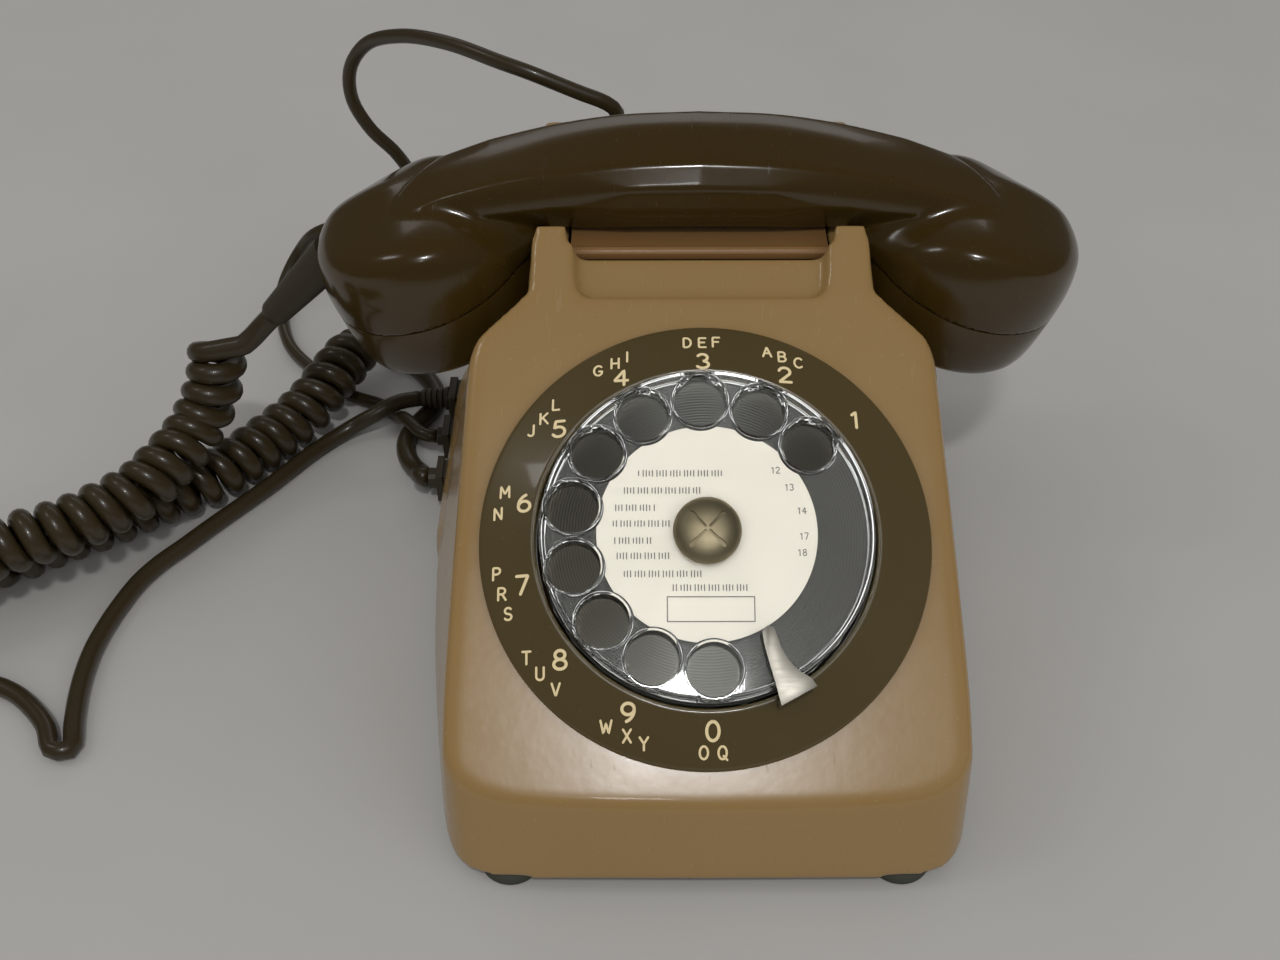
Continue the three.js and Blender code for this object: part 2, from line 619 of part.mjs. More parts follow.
// A rubber bush that fills a notch, with a collar outside and a short neck for the cord.
const bush = (y, width, neckRadius, neckLength) => join(
  box(-81, -78.3, y - width / 2 + gap, y + width / 2 - gap, 4.9, 13.3),
  box(-83.2, -81, y - width / 2 - 0.8, y + width / 2 + 0.8, 3.4, 14.2)
    .subtract(caseBlock(0).translate([-gap, 0, 0])),
  box(-83.2, -80, y - 2.6, y + 2.6, 5.4, 12.8),
  rod([-83, y, cordHeight], [-83 - neckLength, y, cordHeight], neckRadius, 14),
);
add('curly_grommet', bush(curlyY, notches.curly[1], 3.4, 3), finish.rubber);
add('listener_grommet', bush(listenerY, notches.listener[1], 3.2, 2.4), finish.rubber);
add('line_relief', join(
  bush(lineY, notches.line[1], 3.4, 10.4),
  ...[-84.6, -87, -89.4, -91.8].map(
    (x) => rod([x, lineY, cordHeight], [x - 1.2, lineY, cordHeight], 4.1, 14)),
), finish.rubber);

add('listener_cord', tube([[-23.6, 92.8, 103.6], [-23.5, 92, 106.4], [-25, 91.5, 109.4], [-28.6, 91.3, 111.8],
  [-34, 91.5, 113.9], [-41, 92, 116.7], [-50.1, 93.2, 120.1], [-59.4, 96.8, 121.8],
  [-75.7, 107.6, 122.4], [-93.6, 121.9, 118], [-107.4, 131.8, 110], [-114.2, 134, 100],
  [-114.7, 132.6, 90], [-109.7, 130.6, 80], [-102, 131, 70], [-97.5, 133, 58], [-99, 137, 46],
  [-115, 142, 36], [-138.9, 145.1, 28], [-148, 147.2, 18], [-154.8, 138.8, 7.4],
  [-154, 128, 3], [-147.5, 108.6, 2.6], [-137.5, 95.6, 2.6], [-121.5, 80.5, 2.6],
  [-108.1, 74, 2.6], [-101.9, 67.5, 3.4], [-98.4, 62, 7.4], [-95.2, 58, 8.4],
  [-91.6, 53, 9], [-88.6, listenerY + 0.2, cordHeight], [-85.9, listenerY, cordHeight]],
listenerCordWidth, 58), finish.cord);

const coilCentre = [-266, -104];
const lineRoute = [[-93.9, lineY, cordHeight], [-96.6, 70.2, 9.3], [-100.6, 67.4, 10.2],
  [-107.3, 63.4, 8.8], [-116.3, 61.2, 4.4], [-123.2, 56, 2.9], [-129, 49.4, 2.8],
  [-140.8, 33, 2.8], [-153.4, 17.4, 2.8],
  [-162.2, 6, 2.8],
  [-170.7, -5.2, 2.8], [-175.4, -16.7, 2.8], [-178.8, -35.8, 2.8], [-179.7, -57.5, 2.8],
  [-177.4, -68, 2.8], [-176.6, -74.5, 2.8], [-180.4, -74.6, 2.8], [-184.6, -64, 2.8],
  [-193.7, -53.9, 2.8], [-203, -48.9, 2.8], [-213, -48.8, 2.8], [-223, -55, 2.8],
  [-231.6, -61, 2.8], [-236.6, -68.4, 2.8], [coilCentre[0] + coilRadius, coilCentre[1] + 27.2, 2.8]];
add('line_cord', tube(lineRoute, lineCordWidth, 62), finish.cord);

add('line_cord_coil', turned([
  [coilRadius - coilSection / 2, 0.1], [coilRadius + coilSection / 2, 0.1],
  [coilRadius + coilSection / 2, coilHeight], [coilRadius - coilSection / 2, coilHeight],
  [coilRadius - coilSection / 2, 0.1],
], 24).translate([...coilCentre, 0]), finish.cord);

const plugY = -158;
add('line_cord_tail', tube([[-293.6, -131.6, 2.8], [-294, -142, 3.2],
  [-291.6, -151, 5], [-286.6, -156.6, 7.4], [-283.4, plugY, 8], [-280.4, plugY, 8]],
lineCordWidth, 14), finish.cord);

add('line_plug', join(
  rod([-280, plugY, 8], [-272, plugY, 8], 4, 14, 5),
  box(-272.4, -240, plugY - 11, plugY + 11, 0.6, 15.4),
  hull([-1, 1].flatMap((side) => [[-240.4, 8, 2], [-240.4, 8, 14], [-230, 6, 4], [-230, 6, 12]].map(
    ([x, y, z]) => new THREE.Vector3(x, plugY + side * y, z)))),
  ...[-5, 0, 5].map((y) => box(-231, -222, plugY + y - 1, plugY + y + 1, 6, 10)),
), finish.cord);

export default phone;
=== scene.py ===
import math

import bmesh
import bpy
import numpy as np
from mathutils import Matrix, Vector


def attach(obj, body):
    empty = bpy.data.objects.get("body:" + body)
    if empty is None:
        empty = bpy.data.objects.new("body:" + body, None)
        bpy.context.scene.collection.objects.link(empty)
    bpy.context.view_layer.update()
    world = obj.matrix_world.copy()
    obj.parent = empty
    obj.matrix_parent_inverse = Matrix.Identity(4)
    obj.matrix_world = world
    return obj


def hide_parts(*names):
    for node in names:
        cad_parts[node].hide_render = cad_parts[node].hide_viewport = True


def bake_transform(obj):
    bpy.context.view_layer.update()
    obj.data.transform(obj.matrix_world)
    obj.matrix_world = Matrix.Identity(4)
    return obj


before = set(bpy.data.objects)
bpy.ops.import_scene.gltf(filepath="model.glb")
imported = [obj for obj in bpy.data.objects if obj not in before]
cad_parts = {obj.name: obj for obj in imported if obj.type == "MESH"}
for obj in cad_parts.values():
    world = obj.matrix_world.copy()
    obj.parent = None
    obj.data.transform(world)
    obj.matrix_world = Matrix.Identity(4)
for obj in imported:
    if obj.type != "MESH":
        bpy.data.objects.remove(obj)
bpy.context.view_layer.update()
print("frame:", len(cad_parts), "nodes")

mm = 0.001
scene = bpy.context.scene


# ---- shader sums ----
class Wire:
    def __init__(self, shade, socket):
        self.shade = shade
        self.socket = socket

    def maths(self, operation, *terms):
        return self.shade.node("ShaderNodeMath", {"operation": operation}, dict(enumerate(terms)))

    def __add__(self, other):
        return self.maths("ADD", self, other)

    def __radd__(self, other):
        return self.maths("ADD", other, self)

    def __sub__(self, other):
        return self.maths("SUBTRACT", self, other)

    def __rsub__(self, other):
        return self.maths("SUBTRACT", other, self)

    def __mul__(self, other):
        return self.maths("MULTIPLY", self, other)

    def __rmul__(self, other):
        return self.maths("MULTIPLY", other, self)


class Shade:  # one material and its nodes
    def __init__(self, name):
        self.material = bpy.data.materials.new(name)
        self.material.use_nodes = True
        self.tree = self.material.node_tree
        self.tree.nodes.clear()

    def node(self, kind, settings=None, inputs=None, output=0):
        made = self.tree.nodes.new(kind)
        for key, value in (settings or {}).items():
            if key == "stops":
                while len(made.color_ramp.elements) < len(value):
                    made.color_ramp.elements.new(1)
                for element, (place, colour) in zip(made.color_ramp.elements, value):
                    element.position = place
                    element.color = colour
            else:
                setattr(made, key, value)
        for key, value in (inputs or {}).items():
            if isinstance(value, Wire):
                self.tree.links.new(value.socket, made.inputs[key])
            else:
                made.inputs[key].default_value = value
        return Wire(self, made.outputs[output]) if made.outputs else None

    def mix(self, share, first, second):
        return self.node("ShaderNodeMix", {"data_type": "RGBA"}, {0: share, 6: first, 7: second}, 2)

    def noise(self, place, scale, detail=2.0, roughness=0.5):
        return self.node("ShaderNodeTexNoise", None, {
            "Vector": place, "Scale": scale, "Detail": detail, "Roughness": roughness})

    def ramp(self, value, low, high):
        stops = [(low, (0, 0, 0, 1)), (high, (1, 1, 1, 1))]
        return self.node("ShaderNodeValToRGB", {"stops": stops}, {0: value})

    def place(self, stretch=(1, 1, 1)):
        spot = self.node("ShaderNodeTexCoord", None, None, 3)
        if stretch == (1, 1, 1):
            return spot
        return self.node("ShaderNodeMapping", None, {"Vector": spot, "Scale": stretch})

    def bump(self, height, distance, strength=1.0):
        return self.node("ShaderNodeBump", None, {
            "Height": height, "Distance": distance, "Strength": strength})

    def end(self, shader):
        self.node("ShaderNodeOutputMaterial", None, {"Surface": shader})
        return self.material

    def surface(self, inputs):
        return self.end(self.node("ShaderNodeBsdfPrincipled", None, inputs))


def tint(red, green, blue):
    parts = [part / 255 for part in (red, green, blue)]
    return [p / 12.92 if p <= 0.04045 else ((p + 0.055) / 1.055) ** 2.4 for p in parts] + [1.0]


# ---- camera and light ----
cameraView = {
    "place": (-0.0168, -0.2876, 0.3184),
    "down": 44.3,  # degrees below level
    "turn": -0.01,
    "roll": -0.11,
    "lens": 37.97,
    "sensor": 36.0,
}


def makeCamera(sizes):
    data = bpy.data.cameras.new("view")
    data.lens = sizes["lens"]
    data.sensor_width = sizes["sensor"]
    data.clip_start = 0.01
    camera = bpy.data.objects.new("view", data)
    scene.collection.objects.link(camera)
    camera.matrix_world = (
        Matrix.Translation(sizes["place"])
        @ Matrix.Rotation(math.radians(-sizes["turn"]), 4, "Z")
        @ Matrix.Rotation(math.radians(90 - sizes["down"]), 4, "X")
        @ Matrix.Rotation(math.radians(sizes["roll"]), 4, "Z"))
    scene.camera = camera


lamps = [  # name, place, aim, width, height, strength in watts, seen in gloss
    ("key", (0.05, -0.90, 1.7), (0, -0.05, 0.05), 0.18, 0.12, 9.0, True),
    ("side", (-1.5, 0.2, 1.1), (0, 0, 0.05), 1.2, 0.9, 2.5, False),
    ("fill", (1.2, -1.0, 1.0), (0, 0, 0.05), 1.4, 1.0, 4.0, False),
    ("back", (0.0, 1.5, 0.95), (0, 0, 0.08), 1.6, 0.35, 1.5, True),
    ("window", (-0.95, 0.1, 1.3), (0, 0, 0.08), 0.16, 0.3, 0.9, True),
    ("flash", (-0.03, -0.80, 0.86), (0, -0.05, 0.05), 0.09, 0.05, 0.25, True),
]


def makeLights():
    for name, place, aim, width, height, power, glossy in lamps:
        data = bpy.data.lights.new(name, "AREA")
        data.shape = "RECTANGLE"
        data.size = width
        data.size_y = height
        data.energy = power
        lamp = bpy.data.objects.new(name, data)
        lamp.location = place
        lamp.rotation_euler = (Vector(aim) - Vector(place)).to_track_quat("-Z", "Y").to_euler()
        lamp.visible_glossy = glossy
        scene.collection.objects.link(lamp)


worldStrengths = {"soft": 0.5, "dim": 0.06, "white": 1.7}  # diffuse rays, glossy rays, seen directly


def makeWorld():
    world = bpy.data.worlds.new("studio")
    scene.world = world
    world.use_nodes = True
    tree = world.node_tree
    tree.nodes.clear()
    seen = Shade.__new__(Shade)
    seen.tree = tree
    path = tree.nodes.new("ShaderNodeLightPath")
    camera, glossy, through = (Wire(seen, path.outputs[name]) for name in (
        "Is Camera Ray", "Is Glossy Ray", "Is Transmission Ray"))
    direct = camera.maths("MAXIMUM", camera, through)
    soft, dim, white = (
        seen.node("ShaderNodeBackground", None, {"Color": (1, 1, 1, 1), "Strength": worldStrengths[kind]})
        for kind in ("soft", "dim", "white"))
    first = seen.node("ShaderNodeMixShader", None, {0: glossy, 1: soft, 2: dim})
    both = seen.node("ShaderNodeMixShader", None, {0: direct, 1: first, 2: white})
    seen.node("ShaderNodeOutputWorld", None, {"Surface": both})


def makeFloor():
    shade = Shade("floorPale")
    grain = shade.noise(shade.place(), 9.0, 3.0)
    colour = shade.mix(grain, tint(166, 164, 160), tint(176, 174, 170))
    bpy.ops.mesh.primitive_plane_add(size=8, location=(0, 0, 0))
    floor = bpy.context.object
    floor.name = "floor"
    floor.data.materials.append(shade.surface({"Base Color": colour, "Roughness": 0.85}))


makeCamera(cameraView)
makeLights()
makeWorld()
makeFloor()
scene.view_settings.view_transform = "Standard"
print("camera, lamps and floor made")


# ---- mesh tools, in millimetres ----
def evenly(points, spacing):
    points = np.array(points, float)
    run = np.concatenate([[0], np.cumsum(np.linalg.norm(np.diff(points, axis=0), axis=1))])
    count = max(2, int(round(run[-1] / spacing)) + 1)
    at = np.linspace(0, run[-1], count)
    return np.stack([np.interp(at, run, points[:, axis]) for axis in range(points.shape[1])], 1)


def smoothLine(points, spacing=None, fine=16):
    points = np.array(points, float)
    ends = np.vstack([2 * points[0] - points[1], points, 2 * points[-1] - points[-2]])
    line = []
    for four in zip(ends, ends[1:], ends[2:], ends[3:]):
        knots = [0.0]
        for first, second in zip(four, four[1:]):
            knots.append(knots[-1] + max(np.linalg.norm(second - first), 1e-9) ** 0.5)
        at = np.linspace(knots[1], knots[2], fine, endpoint=False)[:, None]

        def between(first, second, low, high):
            return ((high - at) * first + (at - low) * second) / (high - low)
        once = [between(four[i], four[i + 1], knots[i], knots[i + 1]) for i in range(3)]
        twice = [between(once[i], once[i + 1], knots[i], knots[i + 2]) for i in range(2)]
        line.append(between(twice[0], twice[1], knots[1], knots[2]))
    line.append(points[-1:])
    line = np.vstack(line)
    return line if spacing is None else evenly(line, spacing)


def makeObject(name, corners, faces):
    mesh = bpy.data.meshes.new(name)
    mesh.from_pydata((np.array(corners, float) * mm).tolist(), [], faces)
    mesh.update()
    made = bpy.data.objects.new(name, mesh)
    scene.collection.objects.link(made)
    return made


def loft(name, rings, closed=False):
    rings = [np.array(ring, float) for ring in rings]
    count = len(rings[0])
    faces = []
    for i in range(len(rings) - (0 if closed else 1)):
        low = i * count
        high = (i + 1) % len(rings) * count
        for j in range(count):
            k = (j + 1) % count
            faces.append((low + j, low + k, high + k, high + j))
    if not closed:
        faces.append(tuple(reversed(range(count))))
        faces.append(tuple(range((len(rings) - 1) * count, len(rings) * count)))
    made = makeObject(name, np.vstack(rings), faces)
    faceOutward(made)
    return made


def faceOutward(made):
    work = bmesh.new()
    work.from_mesh(made.data)
    bmesh.ops.remove_doubles(work, verts=work.verts, dist=1e-7)
    bmesh.ops.recalc_face_normals(work, faces=work.faces)
    work.to_mesh(made.data)
    work.free()


def hull(name, points):
    work = bmesh.new()
    for point in np.unique(np.round(np.array(points, float), 5), axis=0):
        work.verts.new(point * mm)
    found = bmesh.ops.convex_hull(work, input=work.verts)
    spare = {v for v in found["geom_interior"] + found["geom_unused"] if isinstance(v, bmesh.types.BMVert)}
    bmesh.ops.delete(work, geom=list(spare), context="VERTS")
    bmesh.ops.recalc_face_normals(work, faces=work.faces)
    mesh = bpy.data.meshes.new(name)
    work.to_mesh(mesh)
    work.free()
    made = bpy.data.objects.new(name, mesh)
    scene.collection.objects.link(made)
    return made


def lathe(name, profile, sides=96, matrix=None):
    turns = np.linspace(0, 2 * math.pi, sides, endpoint=False)
    corners = []
    faces = []
    rows = []
    for radius, height in profile:
        if radius < 1e-6:
            rows.append([len(corners)] * sides)
            corners.append((0, 0, height))
        else:
            rows.append(list(range(len(corners), len(corners) + sides)))
            corners += [(radius * math.cos(t), radius * math.sin(t), height) for t in turns]
    for low, high in zip(rows, rows[1:]):
        for i in range(sides):
            k = (i + 1) % sides
            face = [low[i], low[k], high[k], high[i]]
            face = [c for n, c in enumerate(face) if c not in face[:n]]
            if len(face) > 2:
                faces.append(face)
    made = makeObject(name, corners, faces)
    faceOutward(made)
    if matrix is not None:
        made.data.transform(matrix)
    return made


def alongLine(start, end):  # matrix with its +Z on the line from start to end, and the line's length
    start, end = Vector(start) * mm, Vector(end) * mm
    turn = (end - start).to_track_quat("Z", "Y").to_matrix().to_4x4()
    return Matrix.Translation(start) @ turn, (end - start).length / mm


def rod(name, start, end, radius, sides=32):
    matrix, length = alongLine(start, end)
    return lathe(name, [(0, 0), (radius, 0), (radius, length), (0, length)], sides, matrix)


def block(name, low, high):
    xs, ys, zs = zip(low, high)
    return hull(name, [(x, y, z) for x in xs for y in ys for z in zs])


def prism(name, outline, low, high, matrix=None):
    made = loft(name, [[(x, y, h) for x, y in outline] for h in (low, high)])
    if matrix is not None:
        made.data.transform(matrix)
    return made


def bake(made):
    ready = made.evaluated_get(bpy.context.evaluated_depsgraph_get())
    mesh = bpy.data.meshes.new_from_object(ready)
    made.modifiers.clear()
    made.data = mesh


def remove(made):
    mesh = made.data
    bpy.data.objects.remove(made)
    bpy.data.meshes.remove(mesh)


def combine(base, tools, operation="UNION"):
    for tool in tools:
        change = base.modifiers.new("join", "BOOLEAN")
        change.operation = operation
        change.solver = "MANIFOLD"
        change.object = tool
        bake(base)
        remove(tool)
    return base


def bevel(made, width, segments=3, angle=35):
    change = made.modifiers.new("edge", "BEVEL")
    change.width = width * mm
    change.segments = segments
    change.limit_method = "ANGLE"
    change.angle_limit = math.radians(angle)
    change.harden_normals = False
    bake(made)
    return made


def shadeSmooth(made, angle=40):
    made.data.shade_smooth()
    made.data.set_sharp_from_angle(angle=math.radians(angle))
    return made


def corners(made):
    found = np.zeros(len(made.data.vertices) * 3)
    made.data.vertices.foreach_get("co", found)
    return found.reshape(-1, 3)


def setCorners(made, places):
    made.data.vertices.foreach_set("co", places.ravel())
    made.data.update()


def relax(made, rounds, weight=None):  # evens out the surface; weight says where, from 0 to 1
    places = corners(made)
    edges = np.zeros(len(made.data.edges) * 2, int)
    made.data.edges.foreach_get("vertices", edges)
    edges = edges.reshape(-1, 2)
    ends = np.concatenate([edges[:, 0], edges[:, 1]])
    others = np.concatenate([edges[:, 1], edges[:, 0]])
    counts = np.maximum(np.bincount(ends, minlength=len(places)), 1)[:, None]
    share = 0.5 if weight is None else 0.5 * weight(places / mm)[:, None]
    for _ in range(rounds):
        mean = np.stack([np.bincount(ends, places[others, axis], len(places)) for axis in range(3)], 1)
        places += share * (mean / counts - places)
    setCorners(made, places)


def mould(made, voxel, rounds, weight=None, extra=0):
    change = made.modifiers.new("skin", "REMESH")
    change.mode = "VOXEL"
    change.voxel_size = voxel * mm
    bake(made)
    relax(made, rounds)
    if weight is not None:
        relax(made, extra, weight)


def thin(made, faceCount):
    now = len(made.data.polygons) * 2
    if now > faceCount:
        change = made.modifiers.new("thin", "DECIMATE")
        change.ratio = faceCount / now
        bake(made)
    return made


def softMax(first, second, reach):
    near = np.maximum(reach - np.abs(first - second), 0) / reach
    return np.maximum(first, second) + near * near * reach / 4


def softMin(first, second, reach):
    return -softMax(-first, -second, reach)


def skin(name, field, low, high, step):  # mesh of the surface on which the field is zero
    axes = [np.arange(low[axis], high[axis] + step, step) for axis in range(3)]
    grid = np.stack(np.meshgrid(*axes, indexing="ij"), -1)
    values = field(grid.reshape(-1, 3)).reshape(grid.shape[:3])
    inside = values < 0
    cells = [count - 1 for count in values.shape]
    total = np.zeros(cells + [3])
    count = np.zeros(cells)
    for axis in range(3):
        others = [other for other in range(3) if other != axis]
        for first in (0, 1):
            for second in (0, 1):
                start = [0, 0, 0]
                start[others[0]], start[others[1]] = first, second
                near = tuple(slice(a, a + n) for a, n in zip(start, cells))
                start[axis] = 1
                far = tuple(slice(a, a + n) for a, n in zip(start, cells))
                crossed = inside[near] != inside[far]
                share = values[near] / np.where(crossed, values[near] - values[far], 1)
                place = grid[near] + share[..., None] * (grid[far] - grid[near])
                total += np.where(crossed[..., None], place, 0)
                count += crossed
    used = count > 0
    number = np.full(cells, -1)
    number[used] = np.arange(used.sum())
    places = total[used] / count[used][:, None]
    faces = []
    for axis in range(3):
        one, two = (axis + 1) % 3, (axis + 2) % 3
        near = [slice(1, n) for n in cells]
        near[axis] = slice(0, cells[axis])
        far = list(near)
        far[axis] = slice(1, cells[axis] + 1)
        crossed = inside[tuple(near)] != inside[tuple(far)]
        spots = np.argwhere(crossed)
        spots[:, one] += 1
        spots[:, two] += 1
        outward = inside[tuple(near)][crossed]
        around = []
        for stepOne, stepTwo in ((1, 1), (0, 1), (0, 0), (1, 0)):
            cell = spots.copy()
            cell[:, one] -= stepOne
            cell[:, two] -= stepTwo
            around.append(number[cell[:, 0], cell[:, 1], cell[:, 2]])
        quads = np.stack(around, 1)
        quads[~outward] = quads[~outward][:, ::-1]
        faces.append(quads)
    for _ in range(4):
        slope = np.stack([(field(places + shift) - field(places - shift)) / 0.1
                          for shift in np.eye(3) * 0.05], 1)
        push = field(places)[:, None] * slope / np.maximum((slope * slope).sum(1), 0.05)[:, None]
        places -= np.clip(push, -0.5 * step, 0.5 * step)
    return makeObject(name, places, np.vstack(faces).tolist())


def dress(made, name, material, body, slotName, *nodes, smooth=None):  # smooth: angle of sharp edges
    if smooth is not None:
        shadeSmooth(made, smooth)
    made.name = name
    made.data.materials.clear()
    made.data.materials.append(material)
    if body is not None:
        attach(made, body)
    if nodes:
        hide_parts(*nodes)
    return made


def tubeMesh(name, path, radius, sides=10):
    path = np.array(path, float)
    ahead = np.gradient(path, axis=0)
    ahead /= np.linalg.norm(ahead, axis=1)[:, None]
    side = np.cross(ahead[0], (0.13, 0.21, 0.97))
    rings = []
    turns = np.linspace(0, 2 * math.pi, sides, endpoint=False)
    for point, way, reach in zip(path, ahead, np.broadcast_to(radius, len(path))):
        side = side - way * (side @ way)
        side /= np.linalg.norm(side)
        other = np.cross(way, side)
        rings.append([point + reach * (math.cos(t) * side + math.sin(t) * other) for t in turns])
    made = loft(name, rings)
    made.data.shade_smooth()
    return made


# ---- finishes ----
def mouldedPlastic(name, base, other, dust, rough=0.24, coat=0.25, speckScale=900.0):
    shade = Shade(name)
    spot = shade.place()
    cloud = shade.noise(spot, 14.0, 4.0, 0.6)
    speck = shade.node("ShaderNodeTexNoise", None, {"Vector": spot, "Scale": speckScale, "Detail": 1.0})
    specks = shade.ramp(speck, 0.7, 0.78)
    smudge = shade.noise(shade.place((1, 1, 2.2)), 32.0, 5.0, 0.65)
    scratch = shade.noise(shade.place((260, 22, 60)), 3.0, 2.0)
    scratches = shade.ramp(scratch, 0.69, 0.74)
    colour = shade.mix(cloud, base, other)
    colour = shade.mix(specks * 0.16, colour, dust)
    peel = shade.noise(spot, 260.0, 2.0)
    return shade.surface({
        "Base Color": colour,
        "Roughness": rough - 0.05 + 0.12 * smudge + 0.1 * scratches,
        "IOR": 1.5,
        "Coat Weight": coat,
        "Coat Roughness": 0.06,
        "Normal": shade.bump(peel, 0.00006, 0.35),
    })


def metalFinish(name, base, other, rough, grain=(40, 40, 700), depth=0.00003):
    shade = Shade(name)
    streak = shade.noise(shade.place(grain), 4.0, 3.0, 0.6)
    stain = shade.noise(shade.place(), 60.0, 4.0, 0.6)
    return shade.surface({
        "Base Color": shade.mix(stain, base, other),
        "Metallic": 1.0,
        "Roughness": rough - 0.08 + 0.12 * streak + 0.1 * stain,
        "Normal": shade.bump(streak, depth, 0.4),
    })


def softFinish(name, base, other, rough, scale=500.0, depth=0.0001, metal=0.0):
    shade = Shade(name)
    grain = shade.noise(shade.place(), scale, 3.0, 0.6)
    cloud = shade.noise(shade.place(), 25.0, 3.0)
    return shade.surface({
        "Base Color": shade.mix(cloud * 0.6 + grain * 0.4, base, other),
        "Roughness": rough - 0.06 + 0.12 * grain,
        "Metallic": metal,
        "Normal": shade.bump(grain, depth, 0.5),
    })


def clearFinish():
    shade = Shade("clearAcrylic")
    scratch = shade.noise(shade.place((300, 30, 80)), 3.0, 2.0)
    haze = shade.noise(shade.place(), 60.0, 4.0, 0.6)
    return shade.surface({
        "Base Color": shade.mix(haze, tint(236, 238, 236), tint(244, 245, 243)),
        "Roughness": 0.02 + 0.05 * haze * scratch,
        "IOR": 1.49,
        "Transmission Weight": 1.0,
        "Normal": shade.bump(scratch, 0.00001, 0.3),
    })


def dialPlateFinish():  # turned in circles about the dial's axis, with a painted sheen: the base colour is lighter above and below the middle and darker left and right
    shade = Shade("plateTurnedPaintedSheen")
    spot = shade.node("ShaderNodeMapping", {"vector_type": "TEXTURE"}, {
        "Vector": shade.node("ShaderNodeTexCoord", None, None, 3),
        "Location": (0, -0.0487, 0.0635), "Rotation": (math.radians(31), 0, 0)})
    ring = shade.node("ShaderNodeTexWave", {"wave_type": "RINGS", "rings_direction": "Z"}, {
        "Vector": spot, "Scale": 420.0, "Distortion": 1.2, "Detail": 3.0, "Detail Scale": 2.0})
    cloud = shade.noise(spot, 40.0, 4.0)
    across, along = (shade.node("ShaderNodeSeparateXYZ", None, {"Vector": spot}, side) for side in (0, 1))
    # painted sheen: lightens the base colour towards the top and bottom of the plate and leaves its sides
    # dark, standing in for a lamp's reflection
    share = along.maths("DIVIDE", along * along, along * along + across * across)
    paintedSheen = (share * share * share) * (0.7 + 0.5 * cloud)
    return shade.surface({
        "Base Color": shade.mix(paintedSheen, tint(44, 42, 36), tint(84, 84, 80)),
        "Metallic": 0.85,
        "Roughness": 0.34 + 0.1 * cloud,
        "Normal": shade.bump(ring, 0.00003, 0.5),
    })


caseTaupe = mouldedPlastic("caseTaupe", tint(138, 110, 66), tint(146, 117, 73), tint(176, 154, 120),
                           0.24, 0.3)
# the bar is the case's own plastic; its darker, redder base colour is painted shade and painted reflection
# from the handset above it
barTanPaintedShade = mouldedPlastic("barTanPaintedShade", tint(126, 92, 54), tint(134, 100, 60), tint(176, 150, 120), 0.34, 0.1)
handsetOlive = mouldedPlastic("handsetOlive", tint(52, 38, 9), tint(57, 42, 12), tint(104, 90, 56),
                              0.19, 0.25)
ringOlive = mouldedPlastic("ringOlive", tint(72, 60, 32), tint(80, 67, 37), tint(120, 108, 76), 0.3, 0.35)
cordVinyl = mouldedPlastic("cordVinyl", tint(44, 35, 19), tint(55, 45, 26), tint(96, 86, 62), 0.34, 0.15)
bushRubber = softFinish("bushRubber", tint(46, 38, 24), tint(56, 47, 31), 0.5, 900.0)
footRubber = softFinish("footRubber", tint(50, 52, 43), tint(64, 66, 56), 0.72, 700.0)
cardPaper = softFinish("cardPaper", tint(246, 236, 222), tint(251, 243, 231), 0.7, 1500.0, 0.00003)
cardInk = softFinish("cardInk", tint(96, 92, 84), tint(120, 116, 106), 0.7, 1200.0, 0.00002)
markCream = softFinish("markCream", tint(236, 216, 170), tint(226, 204, 156), 0.42, 700.0, 0.00003)
capBronze = metalFinish("capBronze", tint(186, 174, 144), tint(158, 146, 116), 0.5, (60, 60, 60))
stopSteel = metalFinish("stopSteel", tint(168, 164, 154), tint(146, 142, 132), 0.4)
frameSteel = metalFinish("frameSteel", tint(168, 168, 160), tint(140, 140, 130), 0.38)
gearBrass = metalFinish("gearBrass", tint(190, 156, 84), tint(160, 126, 62), 0.3)
gongMetal = metalFinish("gongMetal", tint(184, 166, 116), tint(156, 138, 92), 0.28)
coilTape = softFinish("coilTape", tint(140, 60, 36), tint(112, 46, 28), 0.5, 600.0)
boardLaminate = softFinish("boardLaminate", tint(112, 76, 44), tint(92, 60, 34), 0.55, 300.0)
contactBlack = softFinish("contactBlack", tint(30, 29, 27), tint(40, 38, 35), 0.45, 800.0)
canGrey = metalFinish("canGrey", tint(150, 150, 145), tint(128, 128, 124), 0.42, (50, 50, 50))
clearAcrylic = clearFinish()
plateTurnedPaintedSheen = dialPlateFinish()
print("finishes made")


